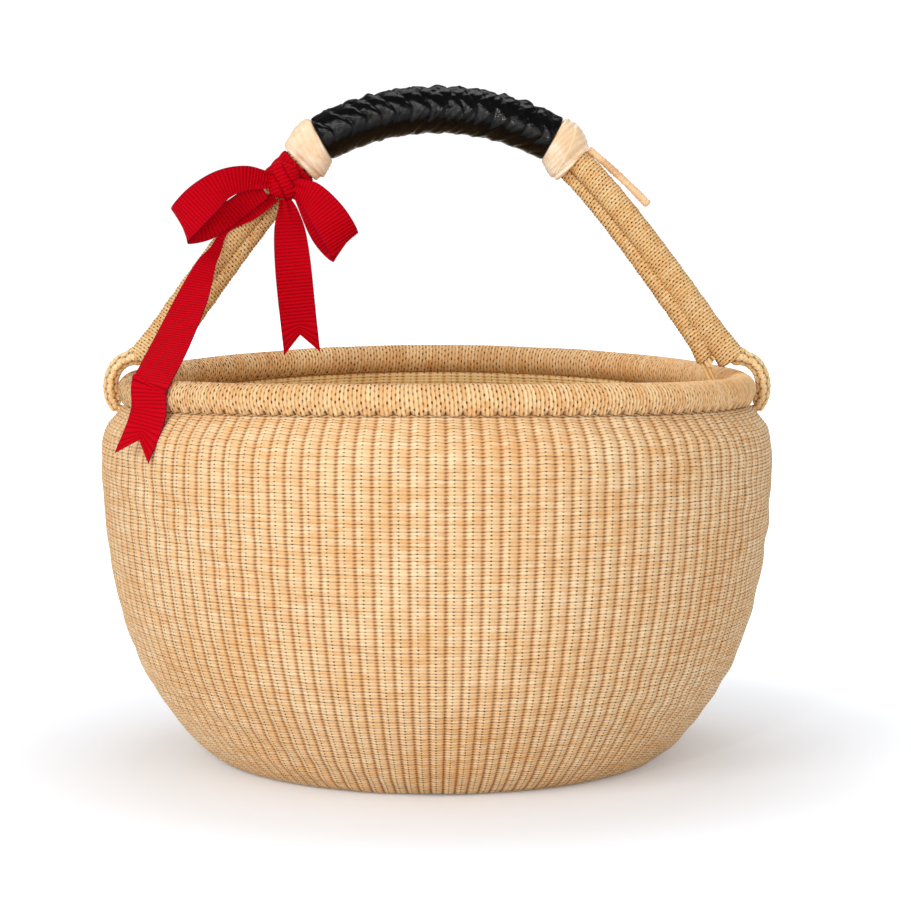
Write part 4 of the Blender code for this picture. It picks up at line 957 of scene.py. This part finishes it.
def rawhide_collar(name, node, side, seed):
    """Rawhide wrapped round the grip's end, from round at the leather to a squared oval at the rods."""
    n, m = 90, 120
    share = np.linspace(0, 1, n)
    span = 0.0003 + COLLAR_WIDTH * share
    middle, out = leg_place(span)
    middle = middle + out * ((PAIR_HIGH - PAIR_LOW) / 2 * ease(share))[:, None]
    turn = turns_grid(n, m)
    s = share[:, None]
    fullness = 2 + 0.6 * ease(s)
    c, d = squared(turn, fullness)
    skin_depth = 0.0026 + 0.0013 * np.sin(math.pi * np.minimum(s * 1.15, 1))
    wide = 0.01264 + skin_depth
    deep = 0.01234 + (0.0079 - 0.01234) * ease(s) + skin_depth
    lap = s - 0.50 - 0.26 * np.sin(turn + seed)
    step = 0.00075 * (ease(lap / 0.05) - 0.5) * (0.6 + 0.4 * np.cos(turn - 1.0))
    second = s - 0.82 + 0.09 * np.sin(turn + 2.4 * seed)
    step = step - 0.0011 * ease(second / 0.05) - 0.0005 * np.exp(-((second / 0.03) ** 2))
    folds = 0.00024 * ripple(s * 9 + 1.5 * np.sin(turn + seed), seed + 40) + 0.00012 * ripple(turn * 2 + 4 * s + 3 * np.sin(turn), seed + 50)
    rim = np.minimum(1.0, np.minimum(s, 1 - s) * COLLAR_WIDTH / 0.0019)
    round_off = 0.0016 * (1 - np.sqrt(np.clip(1 - (1 - rim) ** 2, 0, 1)))
    lift = step + folds - round_off - 0.0002
    points = np.empty(turn.shape + (3,))
    points[..., 0] = side * (middle[:, None, 0] + out[:, None, 0] * (wide + lift) * c)
    points[..., 1] = -(deep + lift) * d
    points[..., 2] = middle[:, None, 1] + out[:, None, 1] * (wide + lift) * c
    shell = Shell()
    uv = np.stack((turn / (2 * math.pi) * 6 + 0 * s, s * 1.4 + 0 * turn), axis=-1)
    start = shell.grid(points, uv, ring_m=True, period=(6.0, 0.0), flip=side < 0)
    shell.fan(start + np.arange(m)[::-1], side < 0)
    shell.fan(start + (n - 1) * m + np.arange(m), side < 0)
    made = shell.piece(name, RAWHIDE)
    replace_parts(made, node)
    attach(made, "handle")


rawhide_collar("left_rawhide_collar", "left_collar", -1, 2)
rawhide_collar("right_rawhide_collar", "right_collar", 1, 5)

THONG_LENGTH = 0.0495
THONG_SHARES = np.array((
    (0.0, 0.0), (0.0065, 0.1100), (0.0120, 0.2200), (0.0160, 0.3305), (0.0190, 0.4410),
    (0.0200, 0.5515), (0.0195, 0.6620), (0.0170, 0.7730), (0.0130, 0.8850), (0.0070, 1.0),
))


def thong_end():
    """Rolled strip of rawhide, a little uneven, with a slimmer core that stands out of its end."""
    middle, out = leg_place(np.array((0.0003 + COLLAR_WIDTH,)))
    middle, out = middle[0] + out[0] * (PAIR_HIGH - PAIR_LOW) / 2, out[0]
    way = np.array((out[1], -out[0]))
    start = middle + out * 0.01276 + way * 0.00055
    flat = start + (THONG_SHARES[:, :1] * out + THONG_SHARES[:, 1:] * way) * THONG_LENGTH
    line = curve_through(np.stack((flat[:, 0], 0 * flat[:, 0], flat[:, 1]), axis=1), 30)
    fine = curve_through(line, 160)
    share = (lengths(fine) / lengths(fine)[-1])[:, None]
    turn = turns_grid(160, 20)
    roll = 0.00016 * ripple(share * 30 + np.sin(turn + share * 9), 61) + 0.00022 * np.exp(-((np.angle(np.exp(1j * (turn - 5 * share - 1))) / 0.25) ** 2))
    radius = 0.00215 + roll + 0.00025 * ease((share - 0.72) / 0.04)
    radius = radius * np.sqrt(np.clip(1 - np.clip((share - 0.975) / 0.027, 0, 1) ** 2, 0.05, 1))
    shell = Shell()
    uv = np.stack((turn / (2 * math.pi) * 2, share * 4 + 0 * turn), axis=-1)
    first = shell.grid(rope(fine, radius, 20), uv, ring_m=True, period=(2.0, 0.0))
    shell.fan(first + np.arange(20)[::-1])
    shell.fan(first + 159 * 20 + np.arange(20))
    made = shell.piece("thong_end", TAN_THONG)
    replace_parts(made, "collar_thong")
    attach(made, "handle")


thong_end()


# ---------------------------------------------------------------- ribbon bow
LEFT_LOOP = (
    ((-0.137, -0.040, 0.0), (0.10, 0.25, -0.96), 0.22),
    ((-0.36, -0.20, 0.020), (0.28, 0.40, -0.87), 0.35),
    ((-0.58, -0.27, -0.040), (0.40, 0.30, -0.87), 0.42),
    ((-0.78, -0.27, -0.190), (0.46, 0.10, -0.88), 0.49),
    ((-0.94, -0.21, -0.35), (0.46, 0.0, -0.89), 0.50),
    ((-1.0, -0.12, -0.425), (0.46, 0.0, -0.89), 0.50),
    ((-0.95, -0.04, -0.445), (0.46, 0.0, -0.89), 0.50),
    ((-0.76, -0.02, -0.42), (0.44, 0.30, -0.85), 0.47),
    ((-0.56, -0.05, -0.335), (0.38, 0.62, -0.68), 0.40),
    ((-0.36, -0.07, -0.20), (0.48, 0.50, -0.72), 0.33),
    ((-0.19, -0.04, -0.10), (0.50, 0.25, -0.74), 0.22),
)
RIGHT_LOOP = (
    ((0.15, -0.077, -0.07), (-0.30, 0.30, -0.90), 0.22),
    ((0.37, -0.24, -0.20), (-0.58, 0.28, -0.76), 0.40),
    ((0.56, -0.30, -0.42), (-0.60, 0.12, -0.79), 0.48),
    ((0.71, -0.27, -0.65), (-0.55, 0.02, -0.83), 0.50),
    ((0.79, -0.16, -0.83), (-0.58, 0.0, -0.81), 0.50),
    ((0.72, -0.02, -0.83), (-0.58, 0.0, -0.81), 0.50),
    ((0.56, -0.04, -0.65), (-0.52, 0.06, -0.85), 0.48),
    ((0.39, -0.09, -0.42), (-0.58, 0.20, -0.79), 0.36),
    ((0.205, -0.085, -0.165), (-0.52, 0.42, -0.74), 0.20),
)
RIGHT_TAIL = (
    ((0.003, 0.0, -0.114), (0.90, 0.42, 0.05), 0.15),
    ((0.024, -0.012, -0.20), (0.94, 0.33, 0.05), 0.30),
    ((0.038, -0.035, -0.32), (0.97, 0.20, 0.08), 0.43),
    ((0.058, -0.065, -0.52), (0.99, 0.06, 0.09), 0.49),
    ((0.080, -0.055, -0.76), (0.99, -0.02, 0.08), 0.50),
    ((0.105, -0.045, -1.0), (0.99, -0.06, 0.06), 0.50),
)
LEFT_TAIL = (
    ((0.079, -0.030, 0.086), (0.53, 0.10, -0.85), 0.15),
    ((0.287, -0.048, 0.174), (0.55, 0.05, -0.83), 0.19),
    ((0.505, -0.052, 0.262), (0.60, 0.05, -0.79), 0.10),
    ((0.590, 0.035, 0.370), (0.80, 0.10, -0.50), 0.16),
    ((0.653, 0.214, 0.446), (0.90, -0.10, -0.30), 0.27),
    ((0.755, 0.430, 0.625), (0.86, -0.40, -0.25), 0.45),
    ((0.885, 0.730, 0.835), (0.90, -0.34, -0.25), 0.50),
)
TAIL_ANGLE = math.radians(218.0)


def stations(table, reach):
    """Rows of middle, width direction and half width in metres, from the bow's tables."""
    rows = []
    for place, across, half in table:
        across = np.array(across) / np.linalg.norm(across)
        rows.append(np.concatenate((KNOT + np.array(place) * reach, across, (half * RIBBON_WIDTH,))))
    return np.array(rows)


def ribbon(name, nodes, table, notch=0.0, cup=0.0):
    """A strip of grosgrain through stations of middle, width direction and half width.

    Its ribs raise both faces by a sine of the length. A cup bends its edges back by the square of the
    place across. A notch draws the end's corners out past its middle.
    """
    coarse = curve_through(table, 400)
    length = lengths(coarse[:, :3])
    n, m = int(length[-1] / 0.00045) + 1, 13
    places = np.linspace(0, length[-1], n)
    rows = np.stack([np.interp(places, length, coarse[:, k]) for k in range(7)], axis=1)
    middle, across, half = rows[:, :3], rows[:, 3:6], rows[:, 6]
    way = slopes(middle)
    across = across - way * np.sum(across * way, axis=1, keepdims=True)
    across /= np.linalg.norm(across, axis=1, keepdims=True)
    face = np.cross(way, across)
    t = np.linspace(-1, 1, m)[None, :, None]
    stretch = ease((places - length[-1] + 0.012) / 0.012)[:, None, None]
    pull = stretch * notch * (np.abs(t) * 1.2 - 0.2)
    gather = (0.0007 * (1 - ease(places / 0.016)))[:, None, None] * np.cos(t * 7.0)
    body = middle[:, None] + across[:, None] * half[:, None, None] * t + way[:, None] * pull
    body = body + face[:, None] * (cup * half[:, None, None] * t**2 + gather)
    rib = 0.00010 * np.sin(2 * math.pi * places / RIBBON_PITCH)[:, None, None] * (1 - np.abs(t) ** 12)
    thick = RIBBON_THICKNESS / 2 * 0.8 + rib
    shell = Shell()
    uu, vv = np.meshgrid(places / RIBBON_PITCH, np.linspace(-1, 1, m), indexing="ij")
    uv = np.stack((vv, uu), axis=-1)
    front = shell.grid(body + face[:, None] * thick, uv) + np.arange(n * m).reshape(n, m)
    back = shell.grid(body - face[:, None] * thick, uv, flip=True) + np.arange(n * m).reshape(n, m)
    for a, b, flip in ((front[:, 0], back[:, 0], True), (front[:, -1], back[:, -1], False), (front[0], back[0], False), (front[-1], back[-1], True)):
        corners = np.stack((a[:-1], a[1:], b[1:], b[:-1]), axis=1)
        shell.place_faces(corners[:, ::-1] if flip else corners)
    made = shell.piece(name, RIBBON, 50.0)
    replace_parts(made, *nodes)
    return made


def left_tail_table():
    """From the knot through the air, then down outside with only the inner edge on the roll and wall.

    That edge goes round the roll on a circle about its middle. The ribbon reaches from it to the left
    and back by its width, in a direction that turns evenly from the roll's top to the ribbon's end.
    """
    radial = np.array((math.cos(TAIL_ANGLE), math.sin(TAIL_ANGLE), 0.0))
    centre = radial * RIM_RADIUS + np.array((0, 0, rim_height(TAIL_ANGLE)))
    lift = ROLL_RADIUS + 0.0016
    up = np.array((0, 0, 1.0))
    edges = [centre + (radial * math.cos(a) + up * math.sin(a)) * lift for a in np.radians((44, 20, -4))]
    for k in range(1, 4):
        height = edges[2][2] - 0.0275 * k / 3
        share = height / (rim_height(TAIL_ANGLE) - WALL_TOP_DROP)
        reach = max(np.interp(share, PROFILE[:, 1], PROFILE[:, 0]) + RIB + ROW_SWELL + 0.0008, RIM_RADIUS + lift)
        edges.append(radial * reach + up * height)
    turned = np.linspace((0.93, -0.28, -0.24), (0.90, -0.36, -0.24), len(edges))
    turned /= np.linalg.norm(turned, axis=1, keepdims=True)
    middles = np.array(edges) - turned * RIBBON_WIDTH / 2
    rows = []
    way = middles[0] - KNOT
    for share, across, half in LEFT_TAIL:
        across = np.array(across) / np.linalg.norm(across)
        rows.append(np.concatenate((KNOT + np.array(share) * way, across, (half * RIBBON_WIDTH,))))
    for middle, across in zip(middles, turned):
        rows.append(np.concatenate((middle, across, (RIBBON_WIDTH / 2,))))
    return np.array(rows)


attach(ribbon("bow_left_loop", ["ribbon_left_loop"], stations(LEFT_LOOP, 0.061)), "handle")
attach(ribbon("bow_right_loop", ["ribbon_right_loop"], stations(RIGHT_LOOP, 0.046)), "handle")
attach(ribbon("bow_right_tail", ["ribbon_right_tail"], stations(RIGHT_TAIL, 0.0945), notch=0.0095, cup=0.05), "handle")
left_tail = ribbon("bow_left_tail", ["ribbon_left_tail"], left_tail_table(), notch=0.0095)
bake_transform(left_tail)


def bow_band():
    """Ribbon round both rods under the collar, in three uneven pleats."""
    n, m = 60, 96
    share = np.linspace(0, 1, n)
    span = COLLAR_WIDTH + 0.0012 + 0.018 * share
    middle, out = leg_place(span)
    high, low = outer_rod(span), rod_gap(span) + inner_rod(span)
    middle = middle + out * ((high - low) / 2)[:, None]
    turn = turns_grid(n, m)
    s = share[:, None]
    c, d = squared(turn, 2.6)
    pleat = 0.00055 * np.abs(np.sin(math.pi * (s * 2.6 + 0.35 * np.sin(turn * 1.0 + 0.6)))) ** 0.8
    edge = 0.0006 * (1 - np.sqrt(np.clip(1 - (1 - np.minimum(1, np.minimum(s, 1 - s) / 0.05)) ** 2, 0, 1)))
    wide = ((high + low) / 2)[:, None] + 0.0011 + pleat - edge
    deep = (high * 1.08)[:, None] + 0.0011 + pleat - edge
    points = np.empty(turn.shape + (3,))
    points[..., 0] = -(middle[:, None, 0] + out[:, None, 0] * wide * c)
    points[..., 1] = -deep * d
    points[..., 2] = middle[:, None, 1] + out[:, None, 1] * wide * c
    shell = Shell()
    uv = np.stack((2 * s - 1 + 0 * turn, turn * 0.0105 / RIBBON_PITCH + 0 * s), axis=-1)
    start = shell.add(points, uv)
    corners, past_n, past_m = lattice(n, m, start, False, True)
    shift = past_m[..., None] * np.array((0.0, 2 * math.pi * 0.0105 / RIBBON_PITCH))
    shell.place_faces(corners[:, ::-1], shift[:, ::-1])
    shell.fan(start + np.arange(m)[::-1], True)
    shell.fan(start + (n - 1) * m + np.arange(m), True)
    made = shell.piece("bow_band", RIBBON, 50.0)
    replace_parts(made, "ribbon_band")
    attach(made, "handle")


def bow_knot():
    """Knot of ribbon: a flattened round whose folds are three turns side by side.

    The place across the turns is x cos a + z sin a. Each turn rises by the square root of one less its
    own place squared, and the middle one stands out from the others.
    """
    n, m = 72, 84
    fall = (np.arange(n) + 0.5)[:, None] * math.pi / n
    turn = turns_grid(n, m)
    full = np.sin(fall) ** 0.62
    x = 0.0084 * full * np.cos(turn) * (1 + 0.08 * np.cos(2 * turn) * np.sin(fall))
    y = 0.0050 * full * np.sin(turn)
    z = 0.0104 * np.cos(fall) + 0 * turn
    a = math.radians(38.0)
    across = x * math.cos(a) + z * math.sin(a)
    runs = z * math.cos(a) - x * math.sin(a)
    across = across + 0.0006 * np.sin(runs * 260)
    edges = np.array((-0.0130, -0.0036, 0.0040, 0.0130))
    which = np.clip(np.searchsorted(edges, across) - 1, 0, 2)
    low, high = edges[which], edges[which + 1]
    place = np.clip((2 * across - low - high) / (high - low), -1, 1)
    puff = np.sqrt(np.clip(1 - np.abs(place) ** 5, 0, 1))
    stand = np.array((0.0006, 0.0017, 0.0002))[which]
    flat = np.clip(0.6 + np.sin(fall) * 0.6, 0, 1)
    lift = (stand * puff + 0.0011 * (puff - 1)) * flat + 0.00018 * ripple(runs * 420 + across * 150, 71)
    normal = np.stack((x / 0.0084**2, y / 0.0050**2, z / 0.0104**2), axis=-1)
    normal /= np.linalg.norm(normal, axis=-1, keepdims=True)
    points = np.stack((x, y, z), axis=-1) + normal * lift[..., None]
    a = math.radians(14.0)
    turned = np.stack((points[..., 0] * math.cos(a) + points[..., 2] * math.sin(a), points[..., 1], points[..., 2] * math.cos(a) - points[..., 0] * math.sin(a)), axis=-1)
    shell = Shell()
    uv = np.stack((place * 0.985, runs / RIBBON_PITCH + which * 0.37), axis=-1)
    start = shell.grid(KNOT + turned, uv, ring_m=True, flip=True)
    shell.fan(start + np.arange(m))
    shell.fan(start + (n - 1) * m + np.arange(m)[::-1])
    made = shell.piece("bow_knot", RIBBON, 70.0)
    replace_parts(made, "ribbon_knot")
    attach(made, "handle")


bow_band()
bow_knot()


# ---------------------------------------------------------------- camera, floor and light
def look():
    camera = bpy.data.cameras.new("camera")
    camera.sensor_width = 36.0
    camera.lens = 2794 * 36 / 911
    camera.shift_x = 0.0204
    seat = bpy.data.objects.new("camera", camera)
    seat.location = (0.0, -1.701, 0.3472)
    seat.rotation_euler = (math.radians(90 - 5.562), 0.0, 0.0)
    bpy.context.scene.collection.objects.link(seat)
    bpy.context.scene.camera = seat


def lamp(name, place, target, size, power, colour=(1.0, 1.0, 1.0)):
    light = bpy.data.lights.new(name, "AREA")
    light.shape = "DISK"
    light.size = size
    light.energy = power
    light.color = colour
    seat = bpy.data.objects.new(name, light)
    seat.location = place
    way = np.array(target) - np.array(place)
    pitch = math.atan2(-way[2], math.hypot(way[0], way[1]))
    seat.rotation_euler = (math.pi / 2 - pitch, 0.0, math.pi - math.atan2(way[0], way[1]) + math.pi)
    bpy.context.scene.collection.objects.link(seat)


def surroundings():
    """Pale floor and even pale surroundings, white to the camera; the floor's glow is painted light, weaker near the
    basket.
    """
    mesh = bpy.data.meshes.new("floor")
    mesh.from_pydata([(-6, -6, -0.0004), (6, -6, -0.0004), (6, 6, -0.0004), (-6, 6, -0.0004)], [], [(0, 1, 2, 3)])
    floor = bpy.data.objects.new("floor", mesh)
    bpy.context.scene.collection.objects.link(floor)
    made = bpy.data.materials.new("pale_floor")
    made.use_nodes = True
    web = Web(made.node_tree)
    shader = made.node_tree.nodes["Principled BSDF"]
    shader.inputs["Base Color"].default_value = (0.82, 0.86, 0.92, 1.0)
    shader.inputs["Roughness"].default_value = 0.9
    shader.inputs["Specular IOR Level"].default_value = 0.0
    path = web.put("ShaderNodeLightPath").outputs
    place = web.put("ShaderNodeTexCoord").outputs["Object"]
    away = web.put("ShaderNodeVectorMath", (place,), operation="LENGTH").outputs["Value"]
    # Painted light: the floor glows to the camera, weakly near the basket and fully from 0.62 m out, which whitens its
    # shadow away from the base.
    lift = web.math("MULTIPLY_ADD", web.fade(away, 0.22, 0.62), -0.82, 1.0)
    glow = web.put("ShaderNodeEmission", {"Color": (1.0, 1.0, 1.0, 1.0), "Strength": web.math("MULTIPLY", path["Is Camera Ray"], lift)})
    total = web.put("ShaderNodeAddShader", (shader.outputs[0], glow.outputs[0]))
    output = next(n for n in made.node_tree.nodes if n.type == "OUTPUT_MATERIAL")
    made.node_tree.links.new(total.outputs[0], output.inputs["Surface"])
    mesh.materials.append(made)
    world = bpy.data.worlds.new("surroundings")
    world.use_nodes = True
    bpy.context.scene.world = world
    tree = world.node_tree
    web = Web(tree)
    back = tree.nodes["Background"]
    back.inputs["Color"].default_value = (1.0, 1.0, 1.0, 1.0)
    path = web.put("ShaderNodeLightPath").outputs
    dim = web.math("MULTIPLY_ADD", path["Is Glossy Ray"], 0.22 - 0.60, 0.60)
    tree.links.new(web.math("MULTIPLY_ADD", path["Is Camera Ray"], 1.05 - 0.60, dim), back.inputs["Strength"])
    bpy.context.scene.view_settings.view_transform = "Standard"


look()
surroundings()
lamp("key", (-1.5, -1.9, 1.3), (0.0, 0.0, 0.10), 1.2, 21.0, (1.0, 0.99, 0.97))
lamp("fill", (1.6, -1.6, 0.7), (0.0, 0.0, 0.1), 1.6, 5.0, (1.0, 0.87, 0.72))
lamp("low", (-0.3, -2.1, 0.3), (0.0, 0.0, 0.04), 1.2, 9.0, (1.0, 0.96, 0.91))
lamp("glint", (-0.4, -1.8, 0.9), (0.0, 0.0, 0.38), 0.09, 3.8)
lamp("top", (0.0, 0.6, 2.2), (0.0, 0.0, 0.2), 1.4, 11.0)
